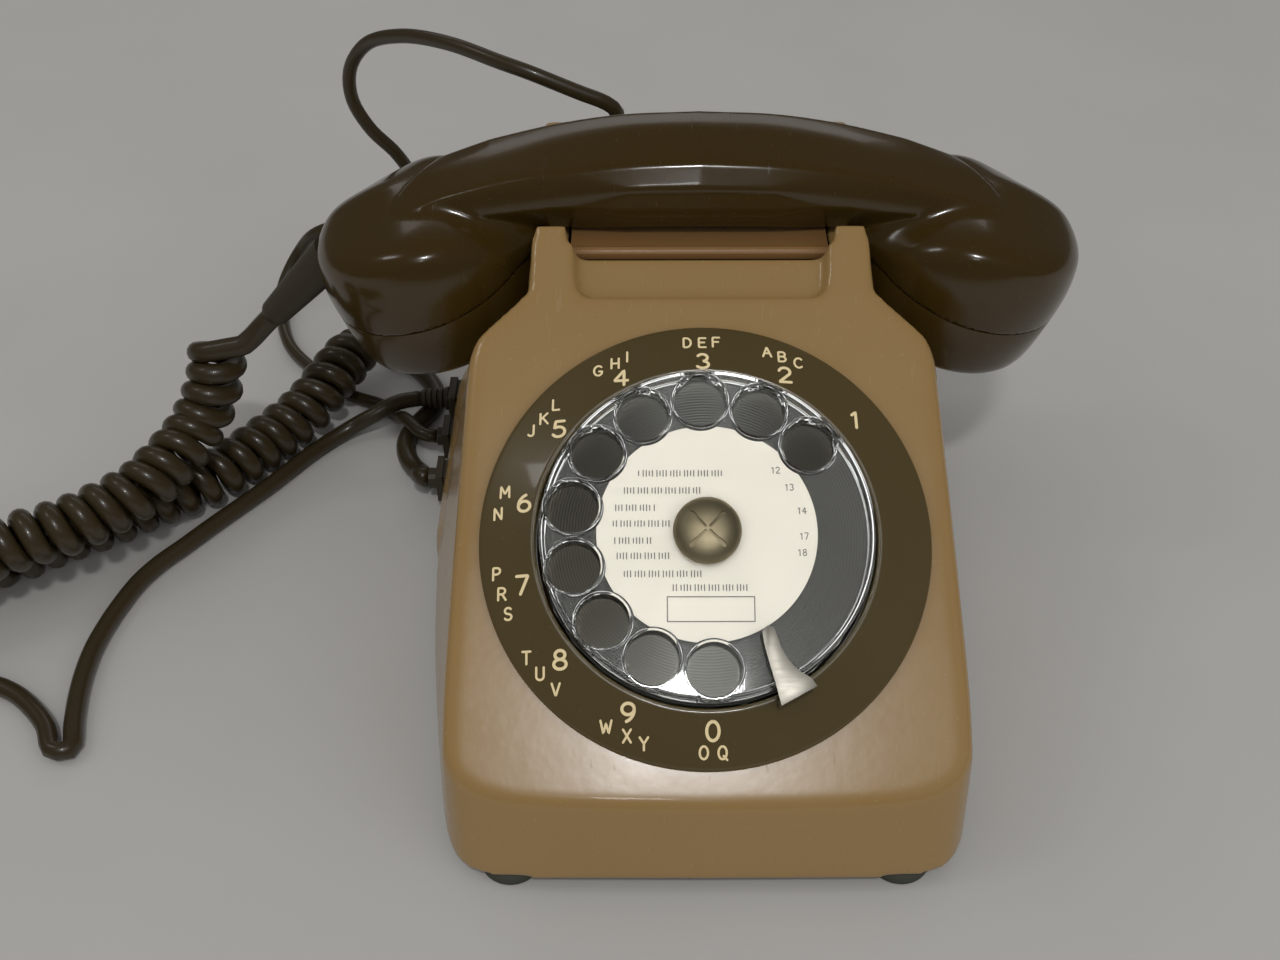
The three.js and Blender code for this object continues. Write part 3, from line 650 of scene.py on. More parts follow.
# ---- cords ----
curlyCord = {
    "wire": 6.6,
    "outer": 18.6,
    "pitch": 7.3,
    "phase": 1.3,  # in half turns
    "stepsPerTurn": 24,
    "start": [(-128.2, 44.3, 66.8), (-129.8, 44.3, 65), (-133.4, 43.8, 61.4), (-136.6, 42.6, 58.4),
              (-139.8, 41, 56.2)],
    "route": [(-149.6, 44.8, 53), (-150.5, 41.4, 45.6), (-153.2, 37, 38.2), (-156.4, 33.2, 33),
              (-159.4, 27.4, 30), (-162.8, 20.9, 28.5), (-166.3, 15.4, 27.2), (-170.2, 9.2, 26.2),
              (-180.2, 0.7, 25), (-189.8, -6.4, 24.9), (-200.6, -12, 25.2), (-212, -18, 24.6),
              (-226, -26, 21.6), (-243, -36, 15.6), (-262, -45, 10.6), (-281, -47, 9.4),
              (-297, -38, 9.4), (-301, -22, 9.4), (-289, -9, 9.4), (-268, -5, 9.4), (-245, -7, 9.4),
              (-228, -8, 9.4), (-213, -4.6, 9.4), (-199.6, 4, 9.4), (-187.1, 11, 9.4),
              (-173.4, 20.4, 9.4), (-160.1, 29, 9.4), (-150.5, 38.6, 9.4), (-141.6, 50, 9.4),
              (-131.4, 62.7, 11.5), (-126.1, 72, 14), (-123.1, 78.4, 15), (-120, 86, 15.2),
              (-117.6, 94, 15.2)],
    "end": [(-115.4, 98.4, 12.5), (-111, 100.6, 8), (-104, 99, 3.4), (-96, 92, 2.6),
            (-89.8, 81, 2.6), (-89.6, 73.4, 2.6), (-93, 67.2, 2.6), (-96.2, 60.7, 2.6),
            (-97.4, 53.6, 2.6), (-95.9, 47.1, 2.6), (-92.8, 41.4, 3.2), (-89.4, 36, 5.6),
            (-88.6, 31.6, 9), (-86.5, 30.7, 9)],
    "length": 2.5,
}
listenerCord = {
    "wire": 4.6,
    "route": [(-23.8, 94.6, 100.4), (-23.6, 92.8, 103.6), (-23.5, 92, 106.4), (-25, 91.5, 109.4),
              (-28.6, 91.3, 111.8), (-34, 91.5, 113.9), (-41, 92, 116.7), (-50.1, 93.2, 120.1),
              (-59.4, 96.8, 121.8), (-75.7, 107.6, 122.4),
              (-93.6, 121.9, 118), (-107.4, 131.8, 110), (-114.2, 134, 100), (-114.7, 132.6, 90),
              (-109.7, 130.6, 80), (-102, 131, 70), (-97.5, 133, 58), (-99, 137, 46),
              (-115, 142, 36), (-138.9, 145.1, 28), (-148, 147.2, 18), (-154.8, 138.8, 7.4),
              (-154, 128, 3), (-147.5, 108.6, 2.6), (-137.5, 95.6, 2.6), (-121.5, 80.5, 2.6),
              (-108.1, 74, 2.6), (-101.9, 67.5, 3.4), (-98.4, 62, 7.4), (-95.2, 58, 8.4),
              (-91.6, 53, 9), (-88.6, 51.2, 9), (-85.9, 51, 9)],
    "length": 0.385,
}
lineCord = {
    "wire": 5.5,
    "route": [(-93.9, 70.6, 9), (-96.6, 70.2, 9.3), (-100.6, 67.4, 10.2), (-107.3, 63.4, 8.8),
              (-116.3, 61.2, 4.4), (-123.2, 56, 2.9), (-129, 49.4, 2.8), (-140.8, 33, 2.8),
              (-153.4, 17.4, 2.8), (-162.2, 6, 2.8), (-170.7, -5.2, 2.8), (-175.4, -16.7, 2.8),
              (-179.3, -35.8, 2.8), (-178.8, -52, 2.8), (-176.6, -65, 2.8), (-175.6, -71.6, 2.8),
              (-177.2, -74.6, 2.8), (-179.6, -72.4, 2.8), (-182.6, -66.4, 2.8), (-188.0, -59.4, 2.8),
              (-195.2, -53.2, 2.8), (-203, -48.9, 2.8),
              (-213, -48.8, 2.8), (-223, -55, 2.8), (-231.6, -61, 2.8), (-235, -70, 2.8),
              (-234.8, -84, 2.8)],
    "coilCentre": (-266, -104),
    "layers": [  # height and the radii of the turns on it
        (2.85, (32.5, 26.9, 21.4)),
        (7.55, (24.1, 29.7)),
        (12.25, (32.5, 26.9, 21.4, 32.6)),
    ],
    "tail": [(-272.6, -140.6, 3.2), (-281, -141.4, 3), (-288.6, -142.4, 3.4), (-292.6, -147.4, 5),
             (-291, -154, 7), (-286.4, -157.4, 7.8), (-281.4, -158, 8), (-277, -158, 8)],
    "length": 1.76,
}


def helixPath(sizes):
    centre = smoothLine(sizes["route"], 0.2)
    ahead = np.gradient(centre, axis=0)
    ahead /= np.linalg.norm(ahead, axis=1)[:, None]
    reach = (sizes["outer"] - sizes["wire"]) / 2
    total = 0.2 * (len(centre) - 1)
    side = np.cross(ahead[0], (0, 0, 1.0))
    points = []
    for i, (point, way) in enumerate(zip(centre, ahead)):
        side = side - way * (side @ way)
        side /= np.linalg.norm(side)
        other = np.cross(way, side)
        run = 0.2 * i
        turn = 2 * math.pi * run / sizes["pitch"] + sizes["phase"] * math.pi
        ramp = min(1, (run + 2.6) / 5, (total - run + 1.0) / 5)
        swell = reach * ramp ** 0.6
        points.append(point + swell * (math.cos(turn) * side + math.sin(turn) * other))
    whole = np.vstack([smoothLine(sizes["start"], 1.0), points[4:-4], smoothLine(sizes["end"], 1.0)])
    around = 2 * math.pi * reach
    return smoothLine(evenly(whole, around / sizes["stepsPerTurn"]), None, 1)


def coilPath(sizes):
    centreX, centreY = sizes["coilCentre"]
    points = []
    turns = [(height, radius) for height, radii in sizes["layers"] for radius in radii]
    steps = 40
    for i, (height, radius) in enumerate(turns):
        nextHeight, nextRadius = turns[min(i + 1, len(turns) - 1)]
        last = i == len(turns) - 1
        for k in range(steps if not last else 8):
            share = max(0.0, (k / steps - 0.72) / 0.28)
            share = share * share * (3 - 2 * share)
            spread = radius + (nextRadius - radius) * share
            rise = height + (nextHeight - height) * share
            turn = -2 * math.pi * k / steps
            points.append((centreX + spread * math.cos(turn), centreY + spread * math.sin(turn), rise))
    return points


def makeCords():
    path = helixPath(curlyCord)
    curl = tubeMesh("curlyCord", path, curlyCord["wire"] / 2, 14)
    dress(curl, "curlyCord", cordVinyl, None, "cord_rubber", "curly_cord", "curly_lead_handset",
          "curly_lead_body")
    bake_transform(curl)
    (path[0] * mm).tolist()
    (path * mm).tolist()

    path = smoothLine(listenerCord["route"], 2.5)
    thinCord = tubeMesh("listenerCord", path, listenerCord["wire"] / 2, 14)
    dress(thinCord, "listenerCord", cordVinyl, None, "cord_rubber", "listener_cord")
    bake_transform(thinCord)
    (path[0] * mm).tolist()
    (path * mm).tolist()

    whole = np.vstack([smoothLine(lineCord["route"], 2.0)[:-3], coilPath(lineCord)[1:]])
    whole = np.vstack([whole, lineCord["tail"]])
    path = smoothLine(smoothLine(whole, 9.0), 2.5)
    line = tubeMesh("lineCord", path, lineCord["wire"] / 2, 12)
    dress(line, "lineCord", cordVinyl, "case", "cord_rubber", "line_cord", "line_cord_coil",
          "line_cord_tail")
    return line, path


lineObject, linePath = makeCords()
print("cords made")


# ---- places on the sloping face ----
dialPlace = {"centre": (0, -48.7, 63.5), "slope": 31.0, "face": -1.5}
slopeSine = math.sin(math.radians(dialPlace["slope"]))
slopeCosine = math.cos(math.radians(dialPlace["slope"]))
dialMatrix = (Matrix.Translation(Vector(dialPlace["centre"]) * mm)
              @ Matrix.Rotation(math.radians(dialPlace["slope"]), 4, "X"))


def onFace(across, up, out=dialPlace["face"]):
    _, y, z = dialPlace["centre"]
    return (across, y + up * slopeCosine - out * slopeSine, z + up * slopeSine + out * slopeCosine)


def bothSides(points):
    points = np.array(points, float)
    return np.vstack([points, points * (-1, 1, 1)])


# ---- case ----
caseSizes = {
    "wall": 2.6,
    "foot": 4.5,
    "trough": 98.8,
    "halfLength": 113.0,
    "rim": [(0, -113), (30, -112.7), (48, -112), (57, -110.9), (62, -108.6), (65.4, -104.6),
            (67.6, -99), (69.4, -91), (71.8, -77), (75, -56), (77.8, -35), (80, -10)],
    "fold": [(0, -67), (30, -66.4), (50, -64.8), (58, -62.4), (63.4, -58.6)],
    "foldRound": 1.4,
    "edge": [(66, -54), (66.2, -41), (64.8, 0), (63.6, 24), (62.8, 38), (62.7, 46), (62.2, 52.6),
             (60.4, 57.6), (56, 61.8), (48.6, 68)],
    "edgeRound": 2.2,
    "rear": [(4.5, 81, 84, 0), (14, 80, 83.6, 0), (24, 75.4, 82.6, 0), (34, 66.5, 81.2, 0),
             (46, 57.6, 79.8, 0), (60, 51, 78.6, 0), (76, 48.6, 78, 2), (98.8, 47.4, 77, 15)],
    "cupCentre": (78.9, 44.8, 85.6),
    "cupLean": 16.8,
    "cupPitch": 5.5,
    "cupRadius": 31.3,
    "capHeight": 19.2,
    "notches": [(30.6, 8.6), (51, 8.6), (70.6, 10.4)],
    "voxel": 0.95,
    "faces": 190000,
}


def cupMatrix(side):
    x, y, z = caseSizes["cupCentre"]
    return (Matrix.Translation(Vector((side * x, y, z)) * mm)
            @ Matrix.Rotation(math.radians(caseSizes["cupPitch"]), 4, "X")
            @ Matrix.Rotation(math.radians(side * caseSizes["cupLean"]), 4, "Y"))


def cupRing(side, radius, height, sides=64):
    matrix = cupMatrix(side)
    turns = np.linspace(0, 2 * math.pi, sides, endpoint=False)
    return [tuple(matrix @ Vector((radius * math.cos(t) * mm, radius * math.sin(t) * mm, height * mm)) / mm)
            for t in turns]


def cupScoop(side, clearance):
    radius = caseSizes["cupRadius"] + clearance
    rings = np.array(cupRing(side, radius, -caseSizes["capHeight"] - clearance) + cupRing(side, radius, 10))
    return hull("scoop", np.vstack([rings, rings + (0, 0, 60)]))


def roundedEdge(points, inner, outer, reach, steps=5):  # points between two faces that meet in an edge
    points, inner, outer = (np.array(part, float) for part in (points, inner, outer))
    toInner = inner - points
    toInner /= np.linalg.norm(toInner, axis=1)[:, None]
    toOuter = outer - points
    toOuter /= np.linalg.norm(toOuter, axis=1)[:, None]
    made = []
    for t in np.linspace(0, 1, steps):
        made.append(points + reach * ((1 - t) ** 2 * toInner + t ** 2 * toOuter))
    return np.vstack(made)


def caseBlock(inset):
    s = caseSizes
    across = 1 - inset / 76
    along = 1 - inset / s["halfLength"]
    foot = -2 if inset > 0 else s["foot"]
    sink = dialPlace["face"] - inset
    rim = smoothLine([(x * across, y * along, foot) for x, y in s["rim"]], 1.5)
    fold = smoothLine([onFace(x * across, up + 0.6 * inset, sink) for x, up in s["fold"]], 2.0)
    edge = smoothLine([onFace(x * across, up, sink) for x, up in s["edge"]], 2.0)
    middle = np.array(onFace(0, 0, sink))
    foldRim = np.stack([fold[:, 0] * 1.04, np.full(len(fold), -110.0 * along), np.full(len(fold), 14.0)], 1)
    foldUp = fold + np.array((0, slopeCosine, slopeSine)) * 10
    edgeDown = np.stack([edge[:, 0] * 1.12, edge[:, 1] + 1, edge[:, 2] - 30], 1)
    edgeIn = edge + (middle - edge) * (1, 0.35, 0.35)
    shape = np.vstack([
        rim, [(81 - inset, 12, foot)],
        roundedEdge(fold, foldUp, foldRim, s["foldRound"]),
        roundedEdge(edge, edgeIn, edgeDown, s["edgeRound"]),
        [(48 * across, 12, s["trough"] - 1 - inset)]])
    shape[:, 1] = np.minimum(shape[:, 1], 12 - inset)  # leaves a wall behind the flanks
    front = hull("front", bothSides(shape))
    levels = smoothLine([(foot if i == 0 else height - (inset if i == len(s["rear"]) - 1 else 0),
                          half - inset, back - inset, start, max(5, 17 - 1.6 * i) - inset / 2)
                         for i, (height, half, back, start) in enumerate(s["rear"])], None, 4)
    rings = []
    for height, half, back, start, corner in levels:
        turns = np.linspace(0, math.pi / 2, 9)
        side = [(half, start)] + [(half - corner + corner * math.cos(t), back - corner + corner * math.sin(t))
                                  for t in turns]
        ring = side + [(-x, y) for x, y in reversed(side)]
        rings.append([(x, y, height) for x, y in ring])
    return combine(loft("rear", rings), [front])


def frontEar(side):
    points = [onFace(side * x, 59) for x in (34, 47.2)]
    points += [(side * x, 6, 88) for x in (34, 47.2)]
    points += [onFace(side * x, 83) for x in (34, 46.8)]
    points += [onFace(side * x, 89) for x in (34.6, 46)]
    points += [(side * x, 29.2, 108.8) for x in (34.6, 46)]
    points += [(side * x, 29.4, 96) for x in (34, 47.2)]
    return hull("ear", points)


def recessWall():  # carries the floor of the recess up to the bar
    points = [onFace(37, up) for up in (66, 83)] + [(37, 12, 90), (37, 24.6, 90)]
    return hull("wall", bothSides(points))


def rearHorn(side):
    low = caseSizes["trough"] - 4
    points = [(side * x, y, low) for x in (35.6, 46.6) for y in (63.6, 77)]
    points += [(side * x, y, 110.8) for x in (36.4, 46) for y in (64.4, 76.4)]
    points += [(side * x, y, 114.6) for x in (37.6, 44.8) for y in (66, 74.6)]
    return hull("horn", points)


def faceRecess(grow):
    outline = ((31.4 + grow, 68.2 - grow), (34.1 + grow, 70.8 - grow), (35.2 + grow, 100), (0, 100))
    return hull("recess", bothSides([onFace(x, up, out) for out in (-4.8 - grow, 12) for x, up in outline]))


def makeCase():
    s = caseSizes
    outside = combine(caseBlock(0), [frontEar(1), frontEar(-1), recessWall(), rearHorn(1), rearHorn(-1)])
    combine(outside, [faceRecess(0), cupScoop(1, 1), cupScoop(-1, 1)], "DIFFERENCE")
    inside = combine(caseBlock(s["wall"]), [faceRecess(s["wall"]), cupScoop(1, 1 + s["wall"]),
                                            cupScoop(-1, 1 + s["wall"])], "DIFFERENCE")
    opening = rod("opening", onFace(0, 0, -14), onFace(0, 0, 8), 43.8, 96)
    slot = block("slot", (-36.8, 24.6, 88), (36.8, 55.6, 120))
    cuts = [block("notch", (-90, y - width / 2, 0), (-70, y + width / 2, 13.6)) for y, width in s["notches"]]
    shell = combine(outside, [inside, opening, slot] + cuts, "DIFFERENCE")
    mould(shell, s["voxel"], 9)
    places = corners(shell) / mm
    centre = np.array(dialPlace["centre"])
    out = (places - centre) @ np.array((0, -slopeSine, slopeCosine))
    away = np.linalg.norm(places - centre, axis=1)
    near = (np.abs(out - dialPlace["face"]) < 0.3) & (away < 62) & (places[:, 2] > 34)
    places[near] -= np.outer(out[near] - dialPlace["face"], (0, -slopeSine, slopeCosine))
    setCorners(shell, places * mm)
    thin(shell, s["faces"])
    dress(shell, "caseShell", caseTaupe, "case", "case_plastic", "body_shell", smooth=60)


makeCase()
print("case made")


# ---- cradle bar ----
barSizes = {"half": 36.2, "profile": [(26, 98.6), (26, 100.6), (26.6, 101.4), (27.8, 101.6), (29.2, 100.9),
                                      (30.6, 100.4), (49, 100.1), (49, 98.4)]}


def makeBar():
    half = barSizes["half"]
    bar = loft("bar", [[(x, y, z) for y, z in barSizes["profile"]] for x in np.linspace(-half, half, 9)])
    for x in (-28, 28):
        combine(bar, [rod("lug", (x - 5, 51, 96.6), (x + 5, 51, 96.6), 3.4, 32)])
    combine(bar, [block("nose", (-3, 39, 95.6), (3, 43, 99))])
    combine(bar, [rod("bore", (-40, 51, 96.6), (40, 51, 96.6), 1.9, 24)], "DIFFERENCE")
    bevel(bar, 0.35, 3)
    dress(bar, "cradleBar", barTanPaintedShade, "cradle_bar", "bar_plastic", "hook_bar", smooth=40)


makeBar()


# ---- dial ----
ringSizes = {
    "profile": [(43.6, -1.2), (58.0, -1.2), (58.45, -1.0), (58.6, -0.5), (58.5, 0.05), (58.1, 0.45),
                (57.4, 0.78), (54, 2.18), (50, 3.83), (46.4, 5.3), (45.4, 5.68), (44.8, 5.92),
                (44.2, 5.9), (43.8, 5.62), (43.6, 5.2)],
}
wheelSizes = {
    "radius": 42.3, "hole": 6.75, "collar": 7.6, "pitch": 34.56, "first": 40.7, "step": 360 / 14,
    "rim": [(0, 9), (40.7, 9), (40.9, 8.8), (40.9, 6.2), (41.1, 6), (42.1, 6), (42.3, 6.2), (42.3, 10.8),
            (42.1, 11.15), (41.7, 11.3), (41.3, 11.15), (41, 10.8), (0, 10.8)],
    "ring": [(6.0, 6.6), (7.3, 6.3), (7.6, 6.6), (7.6, 10.4), (7.55, 11.05), (7.3, 11.3), (6.0, 11.3)],
}
cardSizes = {"radius": 27.9, "clearance": 7.9, "low": 8.3, "high": 8.7}


def holePlaces():
    turns = [math.radians(wheelSizes["first"] + i * wheelSizes["step"]) for i in range(10)]
    return [(wheelSizes["pitch"] * math.cos(t), wheelSizes["pitch"] * math.sin(t)) for t in turns]


def makeWheel():
    s = wheelSizes
    wheel = lathe("wheel", s["rim"], 144)
    for x, y in holePlaces():
        spot = Matrix.Translation((x * mm, y * mm, 0))
        collar = lathe("collar", [(0, 6.6)] + s["ring"] + [(0, 11.3)], 56, spot)
        combine(wheel, [collar])
    for x, y in holePlaces():
        hole = [(0, 4), (s["hole"] + 0.4, 4), (s["hole"] + 0.4, 6.3), (s["hole"] + 0.1, 6.6), (s["hole"], 7),
                (s["hole"], 10.6), (s["hole"] + 0.1, 11.0), (s["hole"] + 0.4, 11.3), (s["hole"] + 0.4, 13),
                (0, 13)]
        combine(wheel, [lathe("hole", hole, 56, Matrix.Translation((x * mm, y * mm, 0)))], "DIFFERENCE")
    wheel.data.transform(dialMatrix)
    dress(wheel, "fingerWheel", clearAcrylic, "dial_wheel", "clear_plastic", "finger_wheel", smooth=35)


def makeCard():
    s = cardSizes
    profile = [(0, s["low"]), (s["radius"], s["low"]), (s["radius"], s["high"]), (0, s["high"])]
    card = lathe("card", profile, 144)
    tools = [lathe("bite", [(0, 8), (s["clearance"], 8), (s["clearance"], 9), (0, 9)], 56,
                   Matrix.Translation((x * mm, y * mm, 0))) for x, y in holePlaces()]
    tools.append(lathe("eye", [(0, 8), (3.3, 8), (3.3, 9), (0, 9)], 24))
    combine(card, tools, "DIFFERENCE")
    card.data.transform(dialMatrix)
    dress(card, "numberCard", cardPaper, "dial_wheel", "card_paper", "number_card", smooth=30)


def makeRing():
    ring = lathe("ring", ringSizes["profile"], 160, dialMatrix)
    dress(ring, "numberRing", ringOlive, "case", "ring_plastic", "number_ring", smooth=50)


plateSizes = {"profile": [(3.3, 4.4), (42.5, 4.4), (42.6, 4.5), (42.6, 5.3), (42.5, 5.4), (3.4, 5.4),
                          (3.3, 5.3)]}


def makePlate():
    plate = lathe("plate", plateSizes["profile"] + plateSizes["profile"][:1], 128, dialMatrix)
    dress(plate, "dialPlate", plateTurnedPaintedSheen, "case", "plate_metal", "dial_plate", smooth=30)


capSizes = {
    "profile": [(0, 11.1), (8.3, 11.1), (8.6, 11.4), (8.6, 11.9), (8.35, 12.3), (7.6, 13.0), (6.4, 13.65),
                (4.8, 14.14), (3.0, 14.38), (1.4, 14.48), (0, 14.5)],
    "slot": [(0.6, 0.32), (3.4, 0.38), (4.6, 0.62), (5.6, 0.62), (6.3, 0.36)],  # reach and half width
    "depth": 0.55,
    "top": 14.45,
    "crown": 0.028,  # fall of the top with the square of the distance from the middle
}


def makeCap():
    cap = lathe("cap", capSizes["profile"], 72)
    for quarter in range(4):
        turn = math.radians(45 + 90 * quarter)
        along = (math.cos(turn), math.sin(turn))
        outline = [(r, w) for r, w in capSizes["slot"]] + [(r, -w) for r, w in reversed(capSizes["slot"])]
        flat = [(r * along[0] - w * along[1], r * along[1] + w * along[0]) for r, w in outline]
        low = [(x, y, capSizes["top"] - capSizes["depth"] - capSizes["crown"] * (x * x + y * y))
               for x, y in flat]
        high = [(x, y, 16) for x, y in flat]
        combine(cap, [loft("slot", [low, high])], "DIFFERENCE")
    cap.data.transform(dialMatrix)
    dress(cap, "centreCap", capBronze, "dial_wheel", "cap_metal", "centre_cap", smooth=30)


stopSizes = {
    "outline": [(14.3, -24.1), (15.6, -24.6), (16.6, -26.6), (17.6, -29.4), (19, -32), (21, -34.5),
                (24.6, -36.9), (26, -38.9), (17.2, -43.6), (16, -38.6), (14.6, -33.4), (13.4, -28.6),
                (13, -25.4)],
    "lip": [(24.6, -36.9), (26, -38.9), (17.2, -43.6), (16.9, -42.2)],
}


def makeStop():
    points = stopSizes["outline"]
    outline = smoothLine(points[:7], 0.8).tolist() + points[7:9]
    outline += smoothLine(points[8:], 1.2).tolist()[1:]
    leaf = prism("leaf", outline, 11.8, 13)
    lip = hull("lip", [(x, y, h) for (x, y) in stopSizes["lip"] for h in (5.6, 12.7)])
    combine(leaf, [lip])
    bevel(leaf, 0.38, 3, 30)
    leaf.data.transform(dialMatrix)
    dress(leaf, "fingerStop", stopSteel, "case", "stop_metal", "finger_stop", smooth=50)


# Strokes of the characters: runs of points in a box one high, arcs as (middle, reach, from, to).
def arc(x, y, across, up, first, last, steps=14):
    return [(x + across * math.cos(math.radians(t)), y + up * math.sin(math.radians(t)))
            for t in np.linspace(first, last, steps)]


strokes = {
    "0": [arc(0.31, 0.5, 0.29, 0.5, 90, 450, 28)],
    "1": [[(0.16, 0.8), (0.36, 1), (0.36, 0)]],
    "2": [arc(0.31, 0.71, 0.28, 0.29, 165, -30) + [(0.03, 0), (0.62, 0)]],
    "3": [arc(0.29, 0.75, 0.25, 0.25, 150, -90) + arc(0.29, 0.25, 0.3, 0.25, 90, -150)],
    "4": [[(0.5, 0), (0.5, 1), (0.02, 0.3), (0.68, 0.3)]],
    "5": [[(0.56, 1), (0.14, 1), (0.08, 0.56)] + arc(0.29, 0.32, 0.31, 0.32, 125, -150)],
    "6": [arc(0.62, 0.34, 0.59, 0.66, 112, 178) + arc(0.32, 0.3, 0.29, 0.3, 180, 540, 24)],
    "7": [[(0.04, 1), (0.6, 1), (0.24, 0)]],
    "8": [arc(0.31, 0.76, 0.24, 0.24, -90, 270, 22), arc(0.31, 0.26, 0.3, 0.26, 90, 450, 24)],
    "9": [arc(0.02, 0.66, 0.59, 0.66, -68, -2) + arc(0.32, 0.7, 0.29, 0.3, 0, 360, 24)],
    "A": [[(0, 0), (0.32, 1), (0.64, 0)], [(0.12, 0.34), (0.52, 0.34)]],
    "B": [[(0.04, 0), (0.04, 1), (0.34, 1)] + arc(0.34, 0.76, 0.22, 0.24, 90, -90, 9)
          + [(0.04, 0.52)], [(0.34, 0.52)] + arc(0.34, 0.26, 0.26, 0.26, 90, -90, 9) + [(0.04, 0)]],
    "C": [arc(0.36, 0.5, 0.34, 0.5, 48, 312, 20)],
    "D": [[(0.04, 0), (0.04, 1), (0.24, 1)] + arc(0.24, 0.5, 0.36, 0.5, 90, -90, 14) + [(0.04, 0)]],
    "E": [[(0.56, 1), (0.04, 1), (0.04, 0), (0.56, 0)], [(0.04, 0.52), (0.46, 0.52)]],
    "F": [[(0.56, 1), (0.04, 1), (0.04, 0)], [(0.04, 0.52), (0.46, 0.52)]],
    "G": [arc(0.36, 0.5, 0.34, 0.5, 48, 318, 20) + [(0.66, 0.42), (0.42, 0.42)]],
    "H": [[(0.04, 0), (0.04, 1)], [(0.6, 0), (0.6, 1)], [(0.04, 0.5), (0.6, 0.5)]],
    "I": [[(0.32, 0), (0.32, 1)]],
    "J": [[(0.48, 1), (0.48, 0.24)] + arc(0.27, 0.22, 0.21, 0.22, 0, -160, 10)],
    "K": [[(0.04, 0), (0.04, 1)], [(0.58, 1), (0.04, 0.42)], [(0.22, 0.6), (0.62, 0)]],
    "L": [[(0.06, 1), (0.06, 0), (0.56, 0)]],
    "M": [[(0.02, 0), (0.04, 1), (0.36, 0.3), (0.68, 1), (0.7, 0)]],
    "N": [[(0.04, 0), (0.04, 1), (0.6, 0), (0.6, 1)]],
    "O": [arc(0.32, 0.5, 0.3, 0.5, 90, 450, 24)],
    "P": [[(0.04, 0), (0.04, 1), (0.32, 1)] + arc(0.32, 0.73, 0.26, 0.27, 90, -90, 10) + [(0.04, 0.46)]],
    "Q": [arc(0.32, 0.5, 0.3, 0.5, 90, 450, 24), [(0.4, 0.24), (0.66, -0.06)]],
    "R": [[(0.04, 0), (0.04, 1), (0.32, 1)] + arc(0.32, 0.74, 0.26, 0.26, 90, -90, 10)
          + [(0.04, 0.48)], [(0.34, 0.48), (0.62, 0)]],
    "S": [arc(0.3, 0.75, 0.25, 0.25, 35, 270, 12) + arc(0.3, 0.25, 0.27, 0.25, 90, -150, 12)],
    "T": [[(0, 1), (0.6, 1)], [(0.3, 1), (0.3, 0)]],
    "U": [[(0.04, 1), (0.04, 0.28)] + arc(0.32, 0.28, 0.28, 0.28, 180, 360, 12) + [(0.6, 1)]],
    "V": [[(0.02, 1), (0.32, 0), (0.62, 1)]],
    "W": [[(0, 1), (0.2, 0), (0.4, 0.78), (0.6, 0), (0.8, 1)]],
    "X": [[(0.04, 0), (0.6, 1)], [(0.6, 0), (0.04, 1)]],
    "Y": [[(0.02, 1), (0.32, 0.5), (0.62, 1)], [(0.32, 0.5), (0.32, 0)]],
}
markSizes = {
    "digit": {"height": 5.3, "pen": 0.78, "wide": 1.0},
    "letter": {"height": 3.6, "pen": 0.56, "wide": 0.95},
    "proud": 0.12,
    "digits": {"1": (39.2, 31.3), "2": (21.4, 43.5), "3": (-0.2, 47.2), "4": (-21.8, 42.7),
               "5": (-37.9, 28.6), "6": (-46.6, 8.8), "7": (-46.7, -12.5), "8": (-36.9, -31.4),
               "9": (-19.9, -44.5), "0": (1.0, -49.0)},
    "letters": {"A": (17.0, 50.7), "B": (21.0, 49.3), "C": (25.2, 47.6), "D": (-4.2, 53.3),
                "E": (-0.2, 53.3), "F": (3.5, 53.5), "G": (-27.9, 45.4), "H": (-23.4, 47.4),
                "I": (-20.2, 49.3), "J": (-45.4, 28.9), "K": (-42.0, 32.1), "L": (-38.9, 35.9),
                "M": (-51.8, 12.3), "N": (-53.5, 6.5), "P": (-53.5, -9.2), "R": (-52.0, -14.4),
                "S": (-50.3, -19.5), "T": (-45.5, -30.6), "U": (-42.0, -34.6), "V": (-38.0, -38.6),
                "W": (-25.4, -47.8), "X": (-20.2, -50.0), "Y": (-16.0, -51.9), "O": (-1.2, -54.1),
                "Q": (3.5, -54.1)},
}


def ribbon(points, pen):  # both edges of a stroke with round ends, and its faces
    points = evenly(points, 0.28)
    ahead = np.gradient(points, axis=0)
    ahead /= np.maximum(np.linalg.norm(ahead, axis=1), 1e-9)[:, None]
    closed = np.linalg.norm(points[0] - points[-1]) < 0.05
    across = np.stack([-ahead[:, 1], ahead[:, 0]], 1)
    stations = list(zip(points, across, np.full(len(points), pen / 2)))
    if not closed:
        for end, way, order in ((points[0], -ahead[0], 0), (points[-1], ahead[-1], 1)):
            tips = [(end + way * pen / 2 * math.sin(t), across[-order], pen / 2 * math.cos(t))
                    for t in np.linspace(0, math.pi / 2, 5)[1:]]
            stations = list(reversed(tips)) + stations if order == 0 else stations + tips
    flat = []
    faces = []
    for place, side, reach in stations:
        flat += [place + side * max(reach, 0.01), place - side * max(reach, 0.01)]
    for i in range(len(stations) - 1):
        faces.append((2 * i, 2 * i + 1, 2 * i + 3, 2 * i + 2))
    return flat, faces


def inked(name, runs, level, depth):  # runs: points and pen; level(x, y) gives the height
    spots = []
    faces = []
    for points, pen in runs:
        flat, made = ribbon(points, pen)
        start = len(spots)
        spots += [(x, y, level(x, y)) for x, y in flat]
        faces += [tuple(start + i for i in face) for face in made]
    sheet = makeObject(name, spots, faces)
    change = sheet.modifiers.new("thick", "SOLIDIFY")
    change.thickness = depth * mm
    change.offset = -1
    bake(sheet)
    sheet.data.transform(dialMatrix)
    return sheet


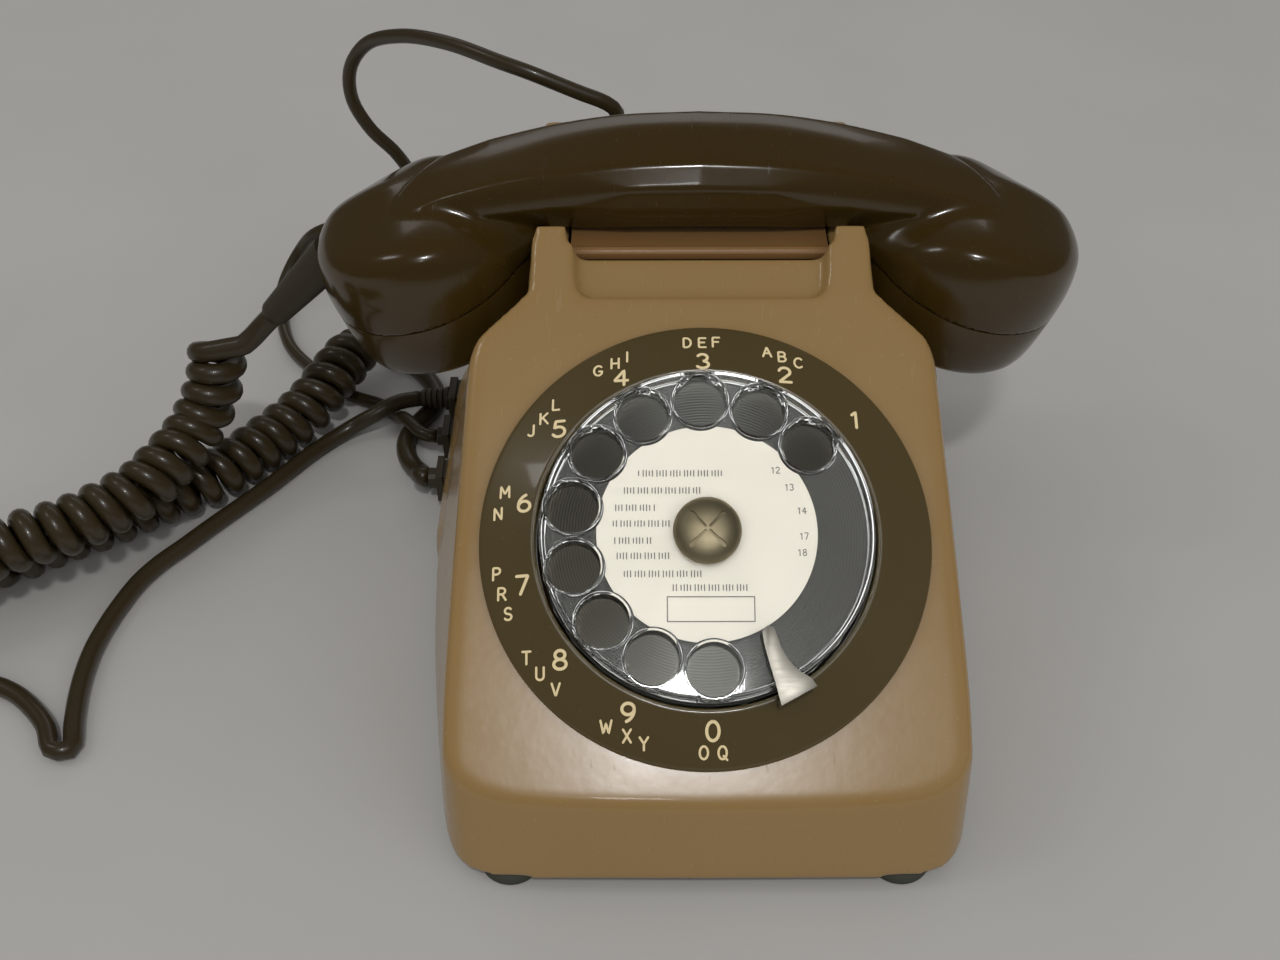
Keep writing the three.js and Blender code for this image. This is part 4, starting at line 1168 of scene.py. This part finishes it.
def characters(name, marks, level):  # marks: character, middle, height, pen, width
    placed = []
    for character, (middleX, middleY), height, pen, wide in marks:
        runs = strokes[character]
        xs = [x for run in runs for x, _ in run]
        shift = (min(xs) + max(xs)) / 2
        placed += [([((x - shift) * height * wide + middleX, (y - 0.5) * (height - pen) + middleY)
                     for x, y in run], pen) for run in runs]
    return inked(name, placed, level, 0.1)


def ringLevel(x, y):
    return 5.7 - (math.hypot(x, y) - 45.4) * 5.4 / 13 + markSizes["proud"]


def makeMarks():
    marks = []
    for kind in ("digit", "letter"):
        size = markSizes[kind]
        marks += [(c, place, size["height"], size["pen"], size["wide"])
                  for c, place in markSizes[kind + "s"].items()]
    sheet = characters("marks", marks, ringLevel)
    dress(sheet, "ringMarks", markCream, "case", "ring_plastic")


printSizes = {
    "lines": [(16.2, -17.2, 4.6), (11.7, -20.8, -1.6), (7.2, -23, -13.2), (3.1, -23.6, -9.4),
              (-1.3, -23.2, -13.6), (-5.2, -22.6, -9), (-9.8, -20.8, -0.6), (-13.3, -8.6, 10.8)],
    "numbers": [(16.2, 17.6, "12"), (11.7, 21.0, "13"), (5.6, 24.0, "14"), (-1.0, 24.4, "17"),
                (-5.2, 23.8, "18")],
    "box": (-10.1, 11.6, -22.6, -16.4),
    "pen": 0.3,
    "tall": 1.5,
    "gap": 0.78,
    "proud": 0.04,
    "digit": {"height": 1.9, "pen": 0.26, "wide": 0.8, "apart": 1.35},
}


def makePrint():
    def level(x, y):
        return cardSizes["high"] + printSizes["proud"]
    digit = printSizes["digit"]
    marks = [(c, (x + (i - 0.5) * digit["apart"], up), digit["height"], digit["pen"], digit["wide"])
             for up, x, number in printSizes["numbers"] for i, c in enumerate(number)]
    sheet = characters("print", marks, level)
    runs = []
    pen = printSizes["pen"]
    for row, (up, first, last) in enumerate(printSizes["lines"]):  # rows of small upright strokes
        place = first
        step = 0
        while place <= last:
            tall = printSizes["tall"] * (1 if (step + row) % 3 else 0.8)
            runs.append(([(place, up - 0.8 - tall / 2), (place, up - 0.8 + tall / 2)], pen))
            place += printSizes["gap"] * (1 if (step * 5 + row) % 4 else 1.5)
            step += 1
    left, right, low, high = printSizes["box"]
    box = [(left, low), (right, low), (right, high), (left, high), (left, low)]
    runs += [([first, second], pen) for first, second in zip(box, box[1:])]
    lines = inked("lines", runs, level, 0.03)
    dress(sheet, "cardNumbers", cardInk, "dial_wheel", "card_paper")
    dress(lines, "cardLines", cardInk, "dial_wheel", "card_paper")


makeRing()
makeMarks()
makePlate()
makeWheel()
makeCard()
makePrint()
makeCap()
makeStop()
print("dial made")


# ---- handset ----
handleSizes = {
    "stations": [  # x, front, rear, side, under
        (0, 123.2, 126.2, 117, 101.4), (22, 122.2, 125.2, 116.4, 101.3), (40, 119.6, 122.4, 114, 101),
        (54, 116.6, 119, 111, 100), (66, 113.4, 115.6, 107, 98.6), (80, 109.2, 111.2, 102.4, 97.4),
        (94, 104.2, 106, 97, 95), (104, 99.6, 101, 91, 89), (116, 92, 93, 78, 76)],
    "creases": (32.5, 37.3, 52.7, 60.2, 63, 61, 57.6, 37.2, 33.8),  # y of the creases around the handle
    "topWidth": 15.4,
    "lipWidth": 7.5,
    "underRise": 4,
    "handleEnd": 88.0,
    "crease": 1.1,
    "fade": 9.0,  # added to the lower crease towards a bell
    "web": 3.6,  # softness of the join between the handle and a bell
    "underWeb": 11.0,
    "bellEdge": 5.0,
    "domeHeight": 33.0,
    "domePowers": (2.5, 2.3, 2.4),  # across, up and of the whole: how square a bell is
    "domeScale": 29,
    "shoulder": 108.4,  # height of a bell's front edge
    "domeEdge": 5.0,
    "step": 0.7,
    "faces": 150000,
}
capProfile = [(0, -17.8), (10, -18.0), (19, -18.5), (24.6, -19.0), (27, -19.15), (28.4, -18.9), (29.5, -18.2),
              (30.3, -17.0), (30.8, -15.2), (31.15, -12.4), (31.3, -8.6), (31.3, -0.75), (31.1, -0.35),
              (30.8, -0.3), (28.7, -0.3), (28.5, -13), (26, -15.8), (0, -15.4)]


handleLine = smoothLine(handleSizes["stations"], None, 8)


def handsetField(places):
    s = handleSizes
    reach = np.abs(places[:, 0])
    y, z = places[:, 1], places[:, 2]
    front, rear, edge, under = (np.interp(reach, handleLine[:, 0], handleLine[:, i]) for i in range(1, 5))
    grow = np.clip((reach - 60) / 45, 0, 1)
    lip = rear - s["lipWidth"] * (0.02 + 0.5 * grow)
    raised = under + s["underRise"]
    outline = list(zip(s["creases"], (edge, front, rear, lip, edge, raised, under, under, raised)))
    frontCrease, rearCrease = s["creases"][1:3]
    handle = reach - s["handleEnd"] + 0.7 * np.maximum(y - 42, 0)
    fading = s["crease"] + s["fade"] * np.clip((reach - 20) / 35, 0, 1)
    for i, ((y0, z0), (y1, z1)) in enumerate(zip(outline, outline[1:] + outline[:1])):
        length = np.hypot(y1 - y0, z1 - z0)
        side = ((y - y0) * -(z1 - z0) + (z - z0) * (y1 - y0)) / length
        handle = softMax(handle, side, fading if i == len(outline) - 1 else s["crease"])
    handle += 0.12 * np.maximum(reach - 78, 0)
    turned = np.array(cupMatrix(1).inverted())
    mirrored = np.stack([reach, y, z], 1)
    across, along, height = (mirrored @ turned[i, :3] + turned[i, 3] / mm for i in range(3))
    radius = np.hypot(across, along)
    rise = np.maximum(height, 0) / s["domeHeight"]
    wide, tall, whole = s["domePowers"]
    dome = (((radius / caseSizes["cupRadius"]) ** wide + rise ** tall) ** (1 / whole) - 1) * s["domeScale"]
    dome = np.maximum(dome, -height)
    topFace = front + (y - frontCrease) * np.where(y < frontCrease, 0.08, (rear - front) / s["topWidth"])
    rearFace = rear - (y - rearCrease) * (lip - rear) / -s["lipWidth"]
    softer = s["crease"] + (s["bellEdge"] - s["crease"]) * grow
    roof = softMax((z - topFace) * 0.98, (z - rearFace) * 0.95, softer * 0.5)
    shoulder = s["shoulder"] - 0.012 * np.maximum(80 - reach, 0) ** 2
    dome = softMax(softMax(dome, roof, s["domeEdge"]), z - shoulder, s["domeEdge"])
    web = s["web"] + s["underWeb"] * np.clip((106 - z) / 8, 0, 1)
    whole = softMin(handle, dome, web)
    whole = softMax(whole, roof, s["crease"])
    whole = np.maximum(whole, np.where(reach > 48, -height, -1e3))
    hollow = np.maximum(radius - (caseSizes["cupRadius"] - 3 - 0.18 * height), height - 11)
    return np.maximum(whole, -hollow)


def makeHandset():
    s = handleSizes
    shell = skin("shell", handsetField, (-113, 8, 66), (113, 82, 129), s["step"])
    faceOutward(shell)
    thin(shell, s["faces"])
    dress(shell, "handsetShell", handsetOlive, "handset", "handset_plastic", "handset_shell", smooth=50)


def soundHoles(rings, reach, low, high, matrix):
    tools = []
    for radius, count in rings:
        for i in range(count):
            turn = 2 * math.pi * i / count
            spot = Matrix.Translation((radius * math.cos(turn) * mm, radius * math.sin(turn) * mm, 0))
            profile = [(0, low), (reach, low), (reach, high), (0, high)]
            tools.append(lathe("hole", profile, 20, matrix @ spot))
    return tools


def makeCups():
    for side, word, body in ((-1, "mouthpiece", "mouthpiece_cap"), (1, "earpiece", "earpiece_cap")):
        cap = lathe("cap", capProfile, 128, cupMatrix(side))
        rings = [(0, 1), (5.5, 6), (11, 12)] if side > 0 else [(4, 5), (9, 10), (14, 15)]
        combine(cap, soundHoles(rings, 1.1, -21, -14, cupMatrix(side)), "DIFFERENCE")
        dress(cap, word + "Cap", handsetOlive, "handset", "handset_plastic", body, smooth=35)


sleeveSizes = {"start": (-107.5, 44.3, 88.2), "end": (-129.4, 44.3, 65.5), "near": 6.3, "far": 4.3}


def makeSleeve():
    start, end = (np.array(sleeveSizes[key]) for key in ("start", "end"))
    length = np.linalg.norm(end - start)
    turn = Vector(end - start).to_track_quat("Z", "Y").to_matrix().to_4x4()
    near, far = sleeveSizes["near"], sleeveSizes["far"]
    profile = [(0, 0), (near, 0)]
    profile += [(near + (far - near) * t ** 1.15, length * t) for t in np.linspace(0.1, 0.96, 30)]
    profile += [(4.1, length * 0.985), (3.8, length), (3.2, length), (3.2, length * 0.8), (0, length * 0.8)]
    sleeve = lathe("sleeve", profile, 40, Matrix.Translation(Vector(start) * mm) @ turn)
    dress(sleeve, "handsetSleeve", bushRubber, "handset", "bush_rubber", "handset_sleeve", smooth=35)


makeHandset()
makeCups()
makeSleeve()
print("handset made")


# ---- second earpiece ----
listenerSizes = {
    "x": -24, "z": 65,
    "shell": [(0, 89), (14, 89.1), (18, 89.3), (22, 90.1), (26, 91.9), (28.6, 94.6), (30, 97.4), (30.5, 99.6),
              (30.6, 102), (30.6, 105.3), (30.3, 105.7), (28.2, 105.7), (28, 99.6), (25.4, 94), (0, 91.4)],
    "cap": [(0, 111), (14, 111.4), (22, 112.5), (25, 113), (27.4, 112.8), (29.2, 111.8), (30.2, 110.4),
            (30.6, 108.6), (30.6, 106.4), (30.3, 106), (28.2, 106), (27.6, 108.4), (0, 108.4)],
    "sleeve": [(0, 0), (4.2, 0), (4.2, 0.25), (3.9, 0.5), (3.5, 0.8), (3.2, 0.95), (2.9, 1), (2.32, 1),
               (2.32, 0.5), (0, 0.5)],  # radius and share of the length
}


def makeListener():
    s = listenerSizes
    matrix = (Matrix.Translation((s["x"] * mm, 0, s["z"] * mm)) @ Matrix.Rotation(math.radians(-90), 4, "X"))
    shell = lathe("listener", s["shell"], 112, matrix)
    x, z = s["x"], s["z"]
    combine(shell, [block("hook", (x - 7, 80.8, z + 10.6), (x + 7, 90.4, z + 14)),
                    block("hook", (x - 7, 80.8, z + 6.4), (x + 7, 83.3, z + 14))])
    dress(shell, "listenerShell", handsetOlive, "listener", "handset_plastic", "listener_shell", smooth=35)
    cap = lathe("cap", s["cap"], 112, matrix)
    combine(cap, soundHoles([(0, 1), (5.5, 6), (11, 12)], 1.1, 106, 114, matrix), "DIFFERENCE")
    dress(cap, "listenerCap", handsetOlive, "listener", "handset_plastic", "listener_cap", smooth=35)
    along, length = alongLine((x, 96.5, z + 30.2), (x + 0.4, 93.2, z + 38))
    profile = [(radius, length * share) for radius, share in s["sleeve"]]
    sleeve = lathe("sleeve", profile, 36, along)
    dress(sleeve, "listenerSleeve", bushRubber, "listener", "bush_rubber", "listener_sleeve", smooth=40)


makeListener()
print("listener made")


# ---- feet, grommets and plug ----
footSizes = {
    "places": {"front_left": (-50.5, -103), "front_right": (50.5, -103), "rear_left": (-62, 68),
               "rear_right": (62, 68)},
    "profile": [(0, 0.5), (3.2, 0.5), (3.6, 0.1), (4.2, 0), (7.6, 0), (8.1, 0.2), (8.4, 0.7), (8.4, 2.8),
                (8.2, 3.4), (7.6, 3.9), (7.2, 4.2), (0, 4.2)],
}
reliefSizes = {"y": 70.6, "z": 9.0, "ribs": 5, "from": -83.4, "to": -93.4, "rib": 4.1, "neck": 3.3}


def makeFeet():
    for place, (x, y) in footSizes["places"].items():
        words = place.split("_")
        foot = lathe("foot", footSizes["profile"], 56, Matrix.Translation((x * mm, y * mm, 0)))
        shadeSmooth(foot, 35)
        name = "foot" + words[0].title() + words[1].title()
        dress(foot, name, footRubber, "case", "foot_rubber", "foot_" + place)


def makeRelief():
    s = reliefSizes
    step = (s["from"] - s["to"]) / s["ribs"]
    profile = [(2.3, 0)]
    for i in range(s["ribs"]):
        at = i * step
        shrink = 1 - 0.05 * i
        neck, rib = s["neck"] * shrink, s["rib"] * shrink
        profile += [(neck, at), (rib, at + 0.25), (rib, at + 0.62 * step), (neck, at + 0.75 * step)]
    profile += [(2.85, s["from"] - s["to"]), (2.3, s["from"] - s["to"]), (2.3, 0)]
    matrix = (Matrix.Translation((s["from"] * mm, s["y"] * mm, s["z"] * mm))
              @ Matrix.Rotation(math.radians(-90), 4, "Y"))
    neck = lathe("neck", profile, 40, matrix)
    shadeSmooth(neck, 35)
    collar = block("collar", (-83.2, s["y"] - 6, 3.4), (-80.4, s["y"] + 6, 14.2))
    bevel(collar, 0.7, 3)
    plate = block("plate", (-81, s["y"] - 4.9, 4.9), (-78.3, s["y"] + 4.9, 13.3))
    combine(collar, [plate])
    dress(collar, "reliefCollar", bushRubber, "case", "bush_rubber", "line_relief", smooth=40)
    dress(neck, "reliefNeck", bushRubber, "case", "bush_rubber")


plugSizes = {"y": -158.0, "half": 11.0, "low": 0.6, "high": 15.4}


def makePlug():
    s = plugSizes
    body = block("plug", (-272.4, s["y"] - s["half"], s["low"]), (-240, s["y"] + s["half"], s["high"]))
    nose = hull("nose", [(x, s["y"] + side * y, z) for side in (-1, 1)
                         for x, y, z in ((-240.4, 8, 2), (-240.4, 8, 14), (-230, 6, 4), (-230, 6, 12))])
    grips = []
    for i in range(5):
        for side in (-1, 1):
            y = s["y"] + side * 12
            grips.append(block("grip", (-269 + 5 * i, y - 1.6, 0), (-266.6 + 5 * i, y + 1.6, 17)))
    combine(body, [nose])
    combine(body, grips, "DIFFERENCE")
    bevel(body, 0.6, 3)
    dress(body, "plugBody", cordVinyl, "case", "cord_rubber", "line_plug", smooth=40)
    neckProfile = [(2.78, 0), (4.2, 0), (4.2, 2), (3.6, 2.4), (3.6, 3.4), (4.6, 3.8), (4.6, 5.2), (3.9, 5.6),
                   (3.9, 6.4), (5, 6.8), (5, 8), (2.78, 8), (2.78, 0)]
    neck = lathe("neck", neckProfile, 36, Matrix.Translation((-280 * mm, s["y"] * mm, 8 * mm))
                 @ Matrix.Rotation(math.radians(90), 4, "Y"))
    dress(neck, "plugNeck", cordVinyl, "case", "cord_rubber", smooth=35)
    blades = block("blade", (-231, s["y"] - 6, 6), (-222, s["y"] - 4, 10))
    for offset in (0, 5):
        combine(blades, [block("blade", (-231, s["y"] + offset - 1, 6), (-222, s["y"] + offset + 1, 10))])
    bevel(blades, 0.3, 2)
    dress(blades, "plugBlades", gearBrass, "case", "gear_brass", smooth=40)
    return [body, neck, blades]


makeFeet()
makeRelief()
plugPieces = makePlug()
(linePath[0] * mm).tolist()
(linePath * mm).tolist()
print("small parts made")


# ---- finishes of the parts kept as packed ----
keptFinishes = {
    frameSteel: ["base_plate", "base_screw_front", "base_screw_rear", "dial_frame", "dial_rear_plate",
                 "return_spring", "hook_pin", "cradle_bracket", "ringer_frame", "gong_post_left",
                 "gong_post_right", "listener_bracket", "dial_shaft"],
    gearBrass: ["drive_gear", "governor", "pulse_cam", "clapper"],
    gongMetal: ["gong_left", "gong_right"],
    coilTape: ["ringer_coil_left", "ringer_coil_right", "induction_coil"],
    boardLaminate: ["terminal_board"],
    contactBlack: ["pulse_contacts", "hook_contacts"],
    canGrey: ["capacitor", "transmitter_capsule", "receiver_capsule", "listener_capsule"],
    bushRubber: ["curly_grommet", "listener_grommet"],
}
for finish, names in keptFinishes.items():
    for name in names:
        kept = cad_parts[name]
        kept.data.materials.clear()
        kept.data.materials.append(finish)
print("kept parts finished")
